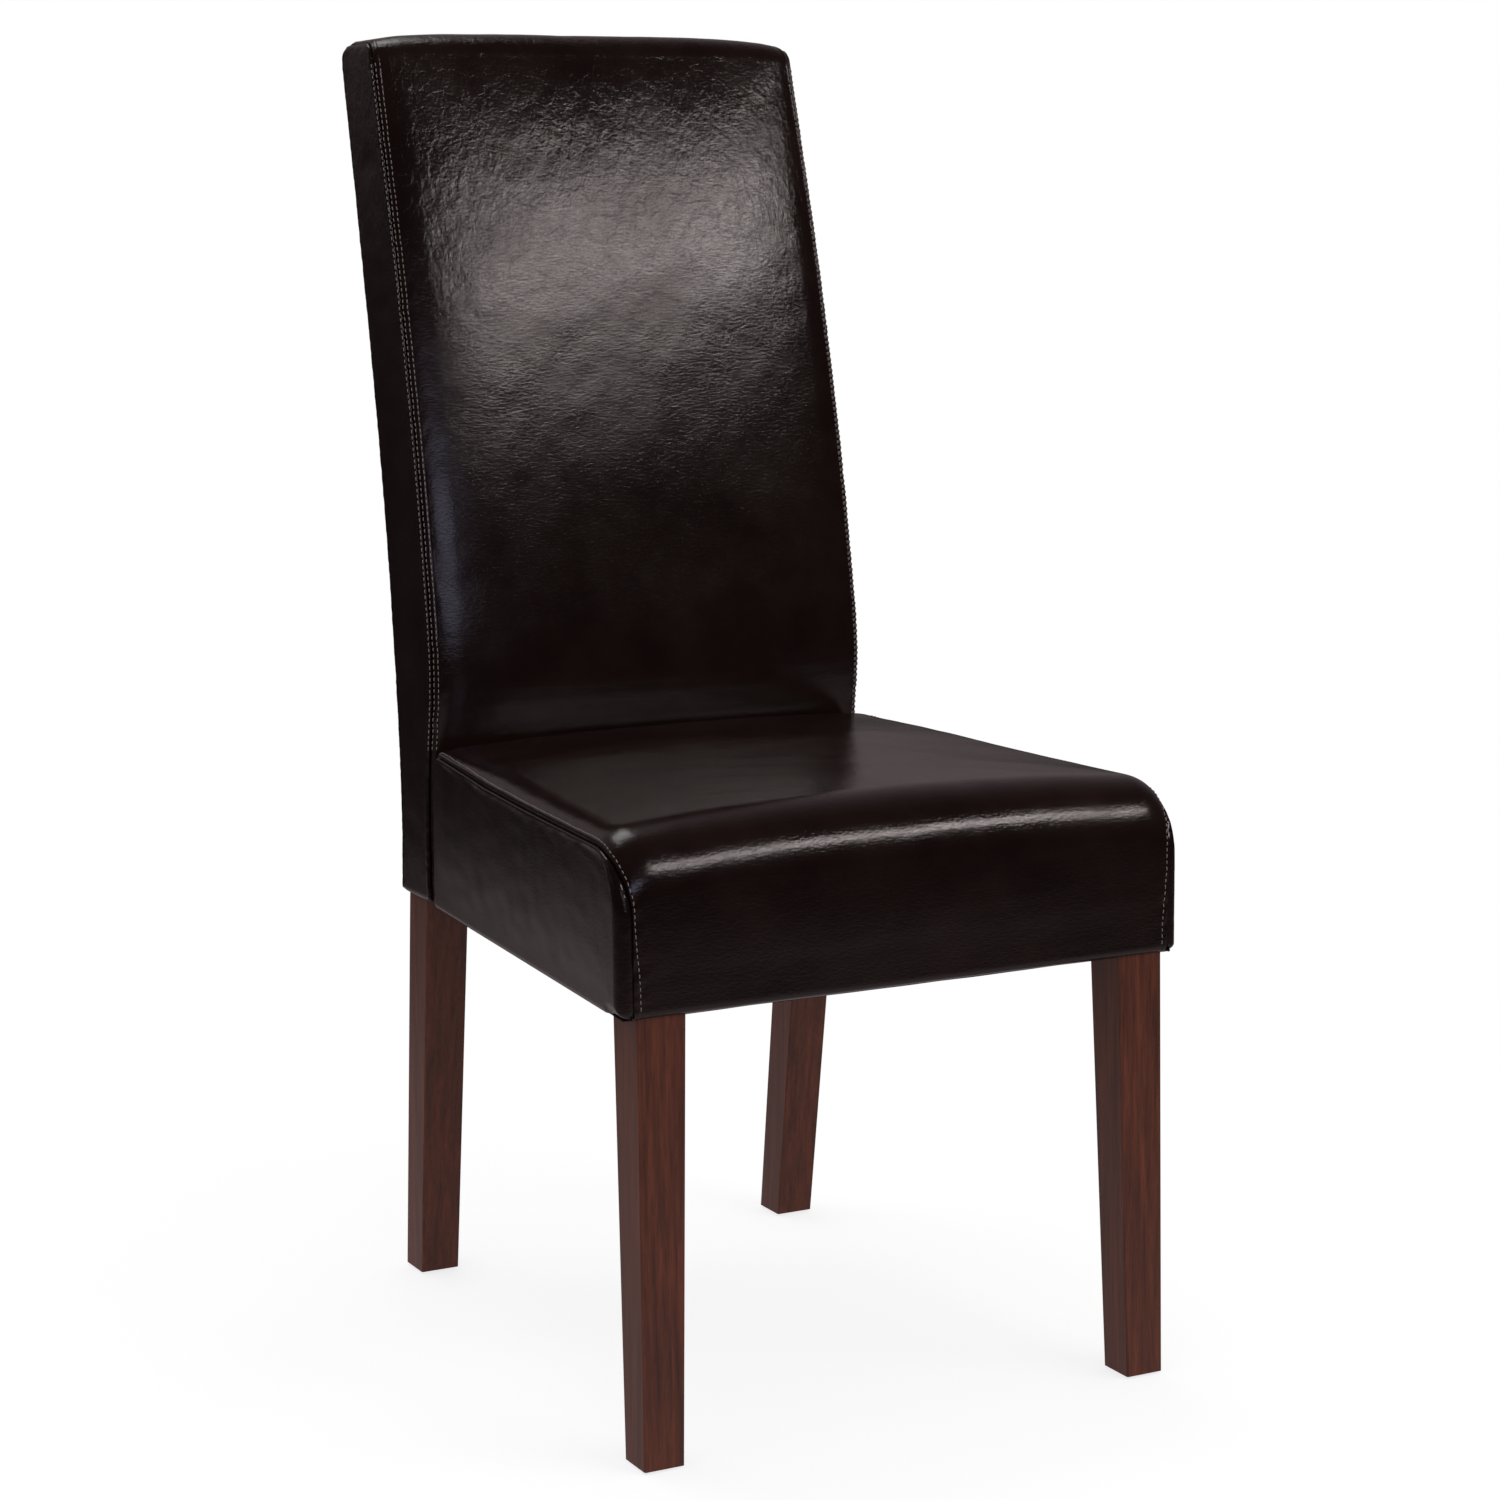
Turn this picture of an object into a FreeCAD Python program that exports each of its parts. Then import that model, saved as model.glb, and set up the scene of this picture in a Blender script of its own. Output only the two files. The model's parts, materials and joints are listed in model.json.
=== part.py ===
import FreeCAD
import Part
import Sketcher
import math
import os
import re

from FreeCAD import Vector

# Parsons chair: a leather-covered seat box bolted to a leather-covered back slab, on four wooden legs.
# Millimetres. The chair faces -Y, +Z is up, and +X is on the right of someone looking at the chair's front.
# Origin: the middle of the floor rectangle that the whole chair covers.

doc = FreeCAD.newDocument("parsons_chair")
dims = doc.addObject("Spreadsheet::Sheet", "dims")

# Driving sizes. Distances marked (y) are measured backwards from the front of the seat.
SIZES = [
    ("seat_front_width", 460.0, "seat width at the front, over the leather"),
    ("seat_rear_width", 392.5, "seat width at the joint with the back"),
    ("seat_depth", 417.0, "seat front to the joint with the back"),
    ("seat_underside", 328.0, "floor to the underside of the seat"),
    ("seat_side_height", 117.0, "height of the seat's side panel at its front"),
    ("seat_side_rise", 3.0, "how much the side panel rises towards the back"),
    ("seat_side_dip", 1.2, "how much the side seam dips between its ends"),
    ("seat_crown", 20.0, "height of the seat's crown over the side seam"),
    ("seat_rear_crown", 12.0, "height of the crown where the seat meets the back"),
    ("seat_front_crown", 3.0, "how far the front panel bulges forward"),
    ("seat_roll_radius", 44.0, "rounding of the seat's top front edge"),
    ("leather_thickness", 1.2, "thickness of the leather"),
    ("side_padding", 8.8, "wadding between the side rails and the leather"),
    ("front_padding", 1.0, "wadding between the front rail and the leather, at its edges"),
    ("rail_thickness", 20.0, "thickness of the seat rails"),
    ("rail_height", 70.0, "height of the seat rails"),
    ("board_thickness", 10.0, "thickness of the plywood seat board"),
    ("board_hole", 25.0, "diameter of the breather holes in the seat board"),
    ("hem_width", 22.0, "leather turned in under the seat box"),
    ("dust_cloth", 0.6, "thickness of the cloth under the seat box"),
    ("front_leg_width", 38.4, "section of a front leg under the seat"),
    ("front_foot_width", 31.6, "section of a front leg at the floor"),
    ("front_foot_reach", 8.8, "how far a front foot stands ahead of the seat"),
    ("front_leg_inset", 10.3, "side of the seat to the outer face of a front leg"),
    ("front_foot_spread", 1.1, "how far a front foot stands out from its leg's top"),
    ("rear_leg_width", 36.6, "section of a rear leg under the back"),
    ("rear_foot_width", 32.9, "section of a rear leg at the floor"),
    ("rear_foot_rake", 33.0, "how far a rear foot stands behind its leg's top"),
    ("rear_leg_inset", 5.5, "side of the back to the outer face of a rear leg"),
    ("rear_foot_tuck", 5.5, "how far a rear foot stands in from its leg's top"),
    ("leg_edge_radius", 1.5, "rounding of the legs' long edges"),
    ("glide_height", 2.0, "thickness of a foot glide under the foot"),
    ("glide_diameter", 22.0, "diameter of a foot glide"),
    ("glide_nail", 2.5, "diameter of a foot glide's nail"),
    ("glide_nail_length", 15.0, "length of a foot glide's nail in its leg"),
    ("back_height", 1007.0, "floor to the top of the back"),
    ("back_top_width", 377.0, "width of the back at its top"),
    ("back_base_depth", 62.5, "depth of the back slab at its base"),
    ("back_bow_start", 475.0, "height where the front of the back starts to lean"),
    ("back_bow_middle", 700.0, "height of the middle station of the back's curve"),
    ("front_middle_lean", 32.0, "joint to the front face at the middle station"),
    ("front_top_lean", 115.0, "joint to the front face at the top"),
    ("rear_bow_start", 400.0, "height where the rear of the back starts to lean"),
    ("rear_middle_lean", 103.0, "joint to the rear face at the middle station"),
    ("rear_top_lean", 177.0, "joint to the rear face at the top"),
    ("back_crown", 8.0, "how far the middle of the back's front stands forward"),
    ("back_front_round", 12.0, "rounding of the back's top front edge"),
    ("back_rear_round", 12.0, "rounding of the back's top rear edge"),
    ("rear_padding", 1.3, "wadding between the posts and the rear leather"),
    ("top_padding", 11.0, "foam over the tops of the posts"),
    ("post_middle_depth", 32.0, "depth of a back post at the middle station"),
    ("post_top_depth", 26.0, "depth of a back post at its top"),
    ("back_rail_thickness", 20.0, "thickness of the rails between the back posts"),
    ("top_rail_height", 60.0, "height of the back's top rail"),
    ("middle_rail_height", 55.0, "height of the back's middle rail"),
    ("middle_rail_level", 690.0, "floor to the lower edge of the middle rail"),
    ("webbing_width", 50.0, "width of a webbing strap"),
    ("webbing_thickness", 1.5, "thickness of a webbing strap"),
    ("block_reach", 60.0, "length of a corner block along the front or rear rail"),
    ("block_height", 52.0, "height of a corner block"),
    ("bolt_diameter", 6.0, "bolts between the seat and the back"),
    ("bolt_clearance", 15.0, "axis of an outer seat bolt to the corner block beside it"),
    ("bolt_head_diameter", 12.0, "seat bolt head"),
    ("bolt_head_height", 4.0, "seat bolt head"),
    ("washer_diameter", 18.0, "washers under the bolt heads and nuts"),
    ("washer_thickness", 1.5, "washers under the bolt heads and nuts"),
    ("tee_nut_diameter", 19.0, "flange of a tee nut"),
    ("tee_nut_flange", 1.6, "thickness of a tee nut's flange"),
    ("tee_nut_barrel", 8.0, "diameter of a tee nut's barrel"),
    ("tee_nut_depth", 9.0, "length of a tee nut's barrel"),
    ("hanger_diameter", 8.0, "hanger bolts of the front legs"),
    ("hanger_depth", 28.0, "how deep a hanger bolt goes into its leg"),
    ("nut_width", 15.0, "hanger bolt nuts, over the corners"),
    ("nut_height", 6.5, "hanger bolt nuts"),
    ("screw_diameter", 4.0, "wood screws"),
    ("screw_head", 8.0, "wood screw heads"),
    ("screw_head_height", 2.5, "wood screw heads"),
    ("block_screw_grip", 6.0, "corner block under a screw's head"),
    ("block_screw_inset", 15.0, "thin end of a corner block to its screw"),
    ("screw_bite", 14.0, "how deep a wood screw goes into the second piece"),
    ("dowel_diameter", 8.0, "wooden dowels"),
    ("dowel_length", 36.0, "wooden dowels"),
]
for row, (alias, value, note) in enumerate(SIZES, start=1):
    dims.set(f"A{row}", note)
    dims.set(f"B{row}", str(value))
    dims.setAlias(f"B{row}", alias)
doc.recompute()

nodes = {}


# Expressions

def size(text):
    """The value of an expression of the sheet's sizes, in millimetres."""
    result = dims.evalExpression(text)
    return float(getattr(result, "Value", result))


def from_front(text):
    """Turns a distance behind the seat's front into a y coordinate."""
    return f"((front_foot_reach - seat_depth - rear_top_lean) / 2 + ({text}))"


def half_seat(distance, inset="0"):
    """Half the seat's width at a distance behind its front, less an inset."""
    taper = "(seat_front_width - seat_rear_width) / 2 / seat_depth"
    return f"(seat_front_width / 2 - {taper} * ({distance}) - ({inset}))"


def half_back(height, inset="0"):
    """Half the back's width at a height, less an inset."""
    taper = "(seat_rear_width - back_top_width) / 2 / (back_height - seat_underside)"
    return f"(seat_rear_width / 2 - {taper} * (({height}) - seat_underside) - ({inset}))"


def sheet_text(text):
    """Names the sheet before each of its sizes in an expression."""
    return re.sub(r"[a-z]+(_[a-z]+)+", r"dims.\g<0>", text)


def bind(obj, **expressions):
    """Ties properties of an object to the sheet."""
    for name, text in expressions.items():
        obj.setExpression(name.replace("__", "."), sheet_text(text))
    return obj


def move_to(obj, place):
    """Ties an object's position to three expressions."""
    return bind(obj, Placement__Base__x=place[0], Placement__Base__y=place[1], Placement__Base__z=place[2])


# Building blocks

def node(name, obj):
    """Keeps an object as one of the chair's pieces."""
    obj.Label = name
    nodes[name] = obj
    return obj


def box(name, x_range, y_range, z_range):
    """A straight block between three pairs of expressions."""
    obj = doc.addObject("Part::Box", name)
    bind(obj, Length=f"({x_range[1]}) - ({x_range[0]})", Width=f"({y_range[1]}) - ({y_range[0]})",
         Height=f"({z_range[1]}) - ({z_range[0]})")
    return move_to(obj, (x_range[0], y_range[0], z_range[0]))


def plan_wedge(name, near, far, z_range):
    """A block whose x range changes from its front to its rear. near and far are (distance, x0, x1)."""
    obj = doc.addObject("Part::Wedge", name)
    return bind(obj, Ymin=from_front(near[0]), Ymax=from_front(far[0]), Xmin=near[1], Xmax=near[2],
                X2min=far[1], X2max=far[2], Zmin=z_range[0], Zmax=z_range[1], Z2min=z_range[0],
                Z2max=z_range[1])


def upright_wedge(name, low, high):
    """A tapered post. low and high are (height, x0, x1, distance0, distance1)."""
    obj = doc.addObject("Part::Wedge", name)
    obj.Placement = FreeCAD.Placement(Vector(), FreeCAD.Rotation(Vector(1, 0, 0), 90))
    return bind(obj, Ymin=low[0], Ymax=high[0], Xmin=low[1], Xmax=low[2], X2min=high[1], X2max=high[2],
                Zmin="-" + from_front(low[4]), Zmax="-" + from_front(low[3]),
                Z2min="-" + from_front(high[4]), Z2max="-" + from_front(high[3]))


def rod(name, diameter, length, start, direction):
    """A cylinder from a start point of three expressions, along a fixed direction."""
    obj = doc.addObject("Part::Cylinder", name)
    obj.Placement = FreeCAD.Placement(Vector(), FreeCAD.Rotation(Vector(0, 0, 1), Vector(*direction)))
    bind(obj, Radius=f"({diameter}) / 2", Height=length)
    return move_to(obj, start)


def join(name, pieces):
    """Makes touching pieces into one solid."""
    obj = doc.addObject("Part::MultiFuse", name)
    obj.Shapes = pieces
    obj.Refine = True
    return obj


def group(name, pieces):
    """Keeps like pieces together as separate solids of one node."""
    obj = doc.addObject("Part::Compound", name)
    obj.Links = pieces
    return obj


def cut(name, base, *tools):
    """Takes one or more tools away from a piece."""
    for index, tool in enumerate(tools):
        obj = doc.addObject("Part::Cut", f"{name}_cut{index}")
        obj.Base = base
        obj.Tool = tool
        base = obj
    return base


def common(name, base, tool):
    """Keeps what two shapes share."""
    obj = doc.addObject("Part::Common", name)
    obj.Base = base
    obj.Tool = tool
    return obj


def rounded(name, base, radius, wanted):
    """Rounds the straight edges of a piece that a test picks."""
    doc.recompute()
    obj = doc.addObject("Part::Fillet", name)
    obj.Base = base
    picked = []
    for index, edge in enumerate(base.Shape.Edges, start=1):
        if wanted(edge):
            picked.append((index, radius, radius))
    obj.Edges = picked
    return obj


def polygon_block(name, corners, z_range):
    """An upright prism on a sketched outline of (x, y) expressions."""
    body = doc.addObject("PartDesign::Body", name)
    plane = next(item for item in body.Origin.OriginFeatures if item.Role == "XY_Plane")
    sketch = body.newObject("Sketcher::SketchObject", name + "_outline")
    sketch.AttachmentSupport = (plane, "")
    sketch.MapMode = "FlatFace"
    bind(sketch, AttachmentOffset__Base__z=z_range[0])
    points = [Vector(size(x), size(y), 0) for x, y in corners]
    for index, point in enumerate(points):
        sketch.addGeometry(Part.LineSegment(point, points[(index + 1) % len(points)]), False)
    for index in range(len(points)):
        following = (index + 1) % len(points)
        sketch.addConstraint(Sketcher.Constraint("Coincident", index, 2, following, 1))
    for index, (x, y) in enumerate(corners):
        for kind, value, text in (("DistanceX", points[index].x, x), ("DistanceY", points[index].y, y)):
            number = sketch.addConstraint(Sketcher.Constraint(kind, -1, 1, index, 1, value))
            sketch.setExpression(f"Constraints[{number}]", sheet_text(text))
    pad = body.newObject("PartDesign::Pad", name + "_pad")
    pad.Profile = sketch
    bind(pad, Length=f"({z_range[1]}) - ({z_range[0]})")
    return body


def solid_feature(name, shape):
    """Keeps a shape made by hand as an object of the document."""
    obj = doc.addObject("Part::Feature", name)
    obj.Shape = shape
    obj.Placement = FreeCAD.Placement()
    return obj


# Levels and lines that several pieces share

FRAME_BOTTOM = "(seat_underside + leather_thickness)"
RAIL_TOP = f"({FRAME_BOTTOM} + rail_height)"
BOARD_TOP = f"({RAIL_TOP} + board_thickness)"
SIDE_INSET = "(side_padding + leather_thickness)"
RAIL_INSET = f"({SIDE_INSET} + rail_thickness)"
WOOD_FRONT = "(leather_thickness + front_padding)"
FRONT_RAIL_REAR = f"({WOOD_FRONT} + rail_thickness)"
LEG_OUTER = "(seat_front_width / 2 - front_leg_inset)"
LEG_INNER = f"({LEG_OUTER} - front_leg_width)"
LEG_REAR = f"({WOOD_FRONT} + front_leg_width)"
REAR_RAIL_REAR = "(seat_depth - leather_thickness)"
REAR_RAIL_FRONT = f"({REAR_RAIL_REAR} - rail_thickness)"
POST_OUTER = "(seat_rear_width / 2 - rear_leg_inset)"
POST_INNER = f"({POST_OUTER} - rear_leg_width)"
POST_INSET = "rear_leg_inset"
POST_REACH = "rear_leg_inset + rear_leg_width"
POST_REAR = "(seat_depth + back_base_depth - leather_thickness - rear_padding)"
POST_FRONT = f"({POST_REAR} - rear_leg_width)"
POST_TOP = "(back_height - leather_thickness - top_padding)"
BOLT_LEVEL = f"({FRAME_BOTTOM} + rail_height / 2)"
BLOCK_BOTTOM = f"({FRAME_BOTTOM} + (rail_height - block_height) / 2)"
BLOCK_TOP = f"({BLOCK_BOTTOM} + block_height)"
WIDE = ("-seat_front_width", "seat_front_width")
REACH_Y = ("-2 * seat_depth", "2 * seat_depth")
SIDES = (("left", "-1"), ("right", "1"))


def sided(sign, inner, outer):
    """The x range between two distances from the middle, on one side."""
    if sign == "-1":
        return f"-({outer})", f"-({inner})"
    return inner, outer


# Curved forms of the seat and the back

def back_profile(low, middle, top):
    """Stations (height, distance) of a curve up the back, low to top."""
    return [Vector(0, size(from_front(distance)), size(height)) for height, distance in (low, middle, top)]


def rear_line(inset, middle_extra="0", top_extra="0"):
    """The back's rear curve, moved forward by an inset that may grow up the back."""
    return back_profile(
        ("rear_bow_start", f"seat_depth + back_base_depth - ({inset})"),
        ("back_bow_middle", f"seat_depth + rear_middle_lean - ({inset}) - ({middle_extra})"),
        ("back_height", f"seat_depth + rear_top_lean - ({inset}) - ({top_extra})"))


def behind(line, top):
    """Everything behind a curve up the back and below a height."""
    low, middle, high = line
    low_end = Vector(0, low.y, 0)
    far = size(from_front("seat_depth + 2 * rear_top_lean"))
    over = Vector(0, high.y, 2 * high.z)
    outline = Part.Wire([
        Part.LineSegment(low_end, low).toShape(),
        Part.Arc(low, middle, high).toShape(),
        Part.LineSegment(high, over).toShape(),
        Part.LineSegment(over, Vector(0, far, over.z)).toShape(),
        Part.LineSegment(Vector(0, far, over.z), Vector(0, far, 0)).toShape(),
        Part.LineSegment(Vector(0, far, 0), low_end).toShape()])
    width = size("seat_front_width")
    solid = Part.Face(outline).extrude(Vector(2 * width, 0, 0))
    solid.translate(Vector(-width, 0, 0))
    keep = Part.makeBox(2 * width, 4 * far, size(top), Vector(-width, -2 * far, 0))
    return solid.common(keep)


def corner(before, at, after, radius):
    """The three points of a rounding between two directions at a corner."""
    ahead = (before - at).normalize()
    back = (after - at).normalize()
    half = ahead.getAngle(back) / 2
    run = radius / math.tan(half)
    inward = (ahead + back).normalize()
    middle = at + inward * (radius / math.sin(half) - radius)
    return at + ahead * run, middle, at + back * run


def slanted(points, half_width):
    """Moves a side outline's points out to the side, which tapers in plan or up the back."""
    return [Vector(half_width(point), point.y, point.z) for point in points]


def seat_outline(inset, crowned):
    """The seat's side outline: foot of the front, round the roll, over the top and down behind."""
    crown = 1 if crowned else 0
    front = size(from_front("0")) + inset - crown * size("seat_front_crown")
    rear = size(from_front("seat_depth")) - inset
    low = size("seat_underside") + inset
    roll = size("seat_roll_radius") - inset
    side_top = size("seat_underside + seat_side_height") - inset
    over = side_top + size("seat_side_rise / 2 - seat_side_dip") + crown * size("seat_crown")
    rear_top = side_top + size("seat_side_rise") + crown * size("seat_rear_crown")
    front_top = side_top + crown * size("seat_crown") / 2
    start = Vector(0, size(from_front("0")) + inset, low)
    knee = Vector(0, front, front_top - roll)
    edge = Vector(0, front + roll, front_top)
    swing = roll * (1 - math.sqrt(0.5))
    bend = Vector(0, front + swing, front_top - swing)
    middle_y = (edge.y + rear) / 2
    return [start, knee, bend, edge, Vector(0, middle_y, over),
            Vector(0, rear, rear_top), Vector(0, rear, low)]


def seat_wire(points):
    """A closed seat section through its seven points."""
    start, knee, bend, edge, over, rear_top, rear_low = points
    return Part.Wire([
        Part.LineSegment(start, knee).toShape(),
        Part.Arc(knee, bend, edge).toShape(),
        Part.Arc(edge, over, rear_top).toShape(),
        Part.LineSegment(rear_top, rear_low).toShape(),
        Part.LineSegment(rear_low, start).toShape()])


def seat_form(inset):
    """The seat's whole crowned form, inset from the leather's outside."""
    def half(point):
        distance = f"({point.y} - {from_front('0')})"
        return size(half_seat(distance)) - inset

    edge = seat_outline(inset, False)
    right = slanted(edge, half)
    left = slanted(edge, lambda point: -half(point))
    return Part.makeLoft([seat_wire(left), seat_wire(seat_outline(inset, True)), seat_wire(right)], True)


def back_outline(inset, crowned):
    """The back's side outline, up the front, over the top and down the rear."""
    crown = size("back_crown") if crowned else 0.0
    joint = size(from_front("seat_depth")) + inset
    low = size("seat_underside") + inset
    top = size("back_height") - inset
    start = Vector(0, joint, size("back_bow_start"))
    middle = Vector(0, size(from_front("seat_depth + front_middle_lean")) + inset - crown,
                    size("back_bow_middle"))
    front_top = Vector(0, size(from_front("seat_depth + front_top_lean")) + inset - crown / 2, top)
    rear = rear_line(str(inset))
    rear_top = Vector(0, rear[2].y, top)
    front_lean = (middle - front_top).normalize()
    front_a, front_b, front_c = corner(front_top + front_lean, front_top, rear_top,
                                       size("back_front_round") - inset)
    rear_a, rear_b, rear_c = corner(front_top, rear_top, rear[1], size("back_rear_round") - inset)
    return [Vector(0, joint, low), start, middle, front_a, front_b, front_c, rear_a, rear_b, rear_c,
            rear[1], rear[0], Vector(0, rear[0].y, low)]


def back_wire(points):
    """A closed back section through its twelve points."""
    low, start, middle, front_a, front_b, front_c, rear_a, rear_b, rear_c, rear_mid, rear_low, foot = points
    return Part.Wire([
        Part.LineSegment(low, start).toShape(),
        Part.Arc(start, middle, front_a).toShape(),
        Part.Arc(front_a, front_b, front_c).toShape(),
        Part.LineSegment(front_c, rear_a).toShape(),
        Part.Arc(rear_a, rear_b, rear_c).toShape(),
        Part.Arc(rear_c, rear_mid, rear_low).toShape(),
        Part.LineSegment(rear_low, foot).toShape(),
        Part.LineSegment(foot, low).toShape()])


def back_form(inset):
    """The back's whole crowned form, inset from the leather's outside."""
    def half(point):
        return size(half_back(str(point.z))) - inset

    edge = back_outline(inset, False)
    right = slanted(edge, half)
    left = slanted(edge, lambda point: -half(point))
    return Part.makeLoft([back_wire(left), back_wire(back_outline(inset, True)), back_wire(right)], True)


# Shared forms and the curves of the back frame

seat_outer = seat_form(0.0)
seat_inner = seat_form(size("leather_thickness"))
back_outer = back_form(0.0)
back_inner = back_form(size("leather_thickness"))

PAD = "leather_thickness + rear_padding"
post_rear_line = rear_line(PAD)
post_front_line = rear_line(f"{PAD} + rear_leg_width", "post_middle_depth - rear_leg_width",
                            "post_top_depth - rear_leg_width")
rail_rear_line = [point + Vector(0, size("back_rail_thickness"), 0) for point in post_front_line]
skin_rear_line = rear_line("leather_thickness")
post_zone = behind(post_front_line, POST_TOP).cut(behind(post_rear_line, "back_height"))
rail_zone = behind(post_front_line, POST_TOP).cut(behind(rail_rear_line, "back_height"))


def between(x_range, y_range, z_range):
    """A block between three pairs of expressions, used to trim a curved form."""
    low = Vector(size(x_range[0]), size(y_range[0]), size(z_range[0]))
    high = Vector(size(x_range[1]), size(y_range[1]), size(z_range[1]))
    return Part.makeBox(high.x - low.x, high.y - low.y, high.z - low.z, low)


def prism(points, direction):
    """A prism on a flat outline of points."""
    return Part.Face(Part.makePolygon(points + points[:1])).extrude(direction)


def back_core(inset):
    """Everything between the back's two side planes, each moved in by an inset."""
    far = size("2 * seat_depth")
    low, high = 0.0, size("2 * back_height")
    points = []
    for sign, level in ((-1, low), (1, low), (1, high), (-1, high)):
        points.append(Vector(sign * (size(half_back(str(level))) - inset), -far, level))
    return prism(points, Vector(0, 2 * far, 0))


def seat_core(inset):
    """Everything between the seat's two side planes, each moved in by an inset."""
    front, rear = size("-seat_depth"), size("2 * seat_depth")
    points = []
    for sign, distance in ((-1, front), (1, front), (1, rear), (-1, rear)):
        half = size(half_seat(str(distance))) - inset
        points.append(Vector(sign * half, size(from_front(str(distance))), 0))
    return prism(points, Vector(0, 0, size("2 * back_height")))


def one_side(shape, sign):
    """The part of a shape left or right of the middle."""
    reach = size("seat_front_width")
    tall = size("2 * back_height")
    start = -reach if sign == "-1" else 0.0
    return shape.common(Part.makeBox(reach, 4 * reach, tall, Vector(start, -2 * reach, 0)))


# Front legs: a tapered leg whose square top is the corner post of the seat frame

def front_leg(side, sign):
    """One front leg with its rounded edges, before drilling."""
    foot_x = sided(sign, f"{LEG_OUTER} + front_foot_spread - front_foot_width",
                   f"{LEG_OUTER} + front_foot_spread")
    top_x = sided(sign, LEG_INNER, LEG_OUTER)
    taper = upright_wedge(f"front_{side}_taper",
                          ("glide_height", *foot_x, "-front_foot_reach", "front_foot_width - front_foot_reach"),
                          (FRAME_BOTTOM, *top_x, WOOD_FRONT, LEG_REAR))
    post = box(f"front_{side}_post", top_x,
               (from_front(WOOD_FRONT), from_front(LEG_REAR)), (FRAME_BOTTOM, RAIL_TOP))
    soft = rounded(f"front_{side}_edges", taper, size("leg_edge_radius"),
                   lambda edge: edge.Length > size("seat_underside") / 2)
    return join(f"front_{side}_whole", [soft, post])


front_legs = {side: front_leg(side, sign) for side, sign in SIDES}


# Rear legs: tapered and raked below, running up inside the back as its posts

def rear_leg(side, sign):
    """One rear leg and back post, before drilling."""
    foot_x = sided(sign, f"{POST_OUTER} - rear_foot_tuck - rear_foot_width", f"{POST_OUTER} - rear_foot_tuck")
    top_x = sided(sign, POST_INNER, POST_OUTER)
    foot_rear = f"{POST_REAR} + rear_foot_rake"
    taper = upright_wedge(f"rear_{side}_taper",
                          ("glide_height", *foot_x, f"{foot_rear} - rear_foot_width", foot_rear),
                          (FRAME_BOTTOM, *top_x, POST_FRONT, POST_REAR))
    soft = rounded(f"rear_{side}_edges", taper, size("leg_edge_radius"),
                   lambda edge: edge.Length > size("seat_underside") / 2)
    post = one_side(post_zone.common(back_core(size(POST_INSET))).cut(back_core(size(POST_REACH))), sign)
    post = post.cut(between(WIDE, REACH_Y, ("0", FRAME_BOTTOM)))
    return join(f"rear_{side}_whole", [soft, solid_feature(f"rear_{side}_post", post)])


rear_legs = {side: rear_leg(side, sign) for side, sign in SIDES}


# Seat frame

LEVELS = (FRAME_BOTTOM, RAIL_TOP)
front_rail = box("front_rail_blank", (f"-({LEG_INNER})", LEG_INNER),
                 (from_front(WOOD_FRONT), from_front(FRONT_RAIL_REAR)), LEVELS)
rear_rail = plan_wedge(
    "rear_rail_blank",
    (REAR_RAIL_FRONT, "-" + half_seat(REAR_RAIL_FRONT, SIDE_INSET), half_seat(REAR_RAIL_FRONT, SIDE_INSET)),
    (REAR_RAIL_REAR, "-" + half_seat(REAR_RAIL_REAR, SIDE_INSET), half_seat(REAR_RAIL_REAR, SIDE_INSET)),
    LEVELS)


def along_side(name, sign, start, end, inner, outer, z_range):
    """A piece that follows the seat's slanting side between two insets."""
    near = sided(sign, half_seat(start, inner), half_seat(start, outer))
    far = sided(sign, half_seat(end, inner), half_seat(end, outer))
    return plan_wedge(name, (start, *near), (end, *far), z_range)


side_rails = {side: along_side(f"{side}_rail_blank", sign, LEG_REAR, REAR_RAIL_FRONT, RAIL_INSET,
                               SIDE_INSET, LEVELS) for side, sign in SIDES}
seat_board = plan_wedge(
    "seat_board_blank",
    (WOOD_FRONT, "-" + half_seat(WOOD_FRONT, SIDE_INSET), half_seat(WOOD_FRONT, SIDE_INSET)),
    (REAR_RAIL_REAR, "-" + half_seat(REAR_RAIL_REAR, SIDE_INSET), half_seat(REAR_RAIL_REAR, SIDE_INSET)),
    (RAIL_TOP, BOARD_TOP))
breathers = []
for column in (-1, 0, 1):
    for line in (-1, 0, 1):
        breathers.append(rod(f"breather_{column + 1}_{line + 1}", "board_hole", "2 * board_thickness",
                             (f"{column} * seat_rear_width / 4",
                              from_front(f"seat_depth / 2 + {line} * seat_depth / 4"),
                              f"{RAIL_TOP} - board_thickness / 2"), (0, 0, 1)))

# Corner blocks, each with a 45 degree face towards the middle of the seat
TAPER = "((seat_front_width - seat_rear_width) / 2 / seat_depth)"
BLOCK_X = f"({LEG_INNER} - block_reach)"
FRONT_BLOCK_END = (f"((seat_front_width / 2 - {RAIL_INSET} - {BLOCK_X} + {FRONT_RAIL_REAR}) / (1 + {TAPER}))")
REAR_BLOCK_X = f"({half_seat(REAR_RAIL_FRONT, RAIL_INSET)} - block_reach)"
REAR_BLOCK_END = f"(({REAR_BLOCK_X} + {REAR_RAIL_FRONT} - (seat_front_width / 2 - {RAIL_INSET})) / (1 - {TAPER}))"


def mirrored(sign, corners):
    """Outline corners (x, distance) as (x, y) expressions on one side."""
    flip = "-" if sign == "-1" else ""
    return [(f"{flip}({x})", from_front(distance)) for x, distance in corners]


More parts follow.
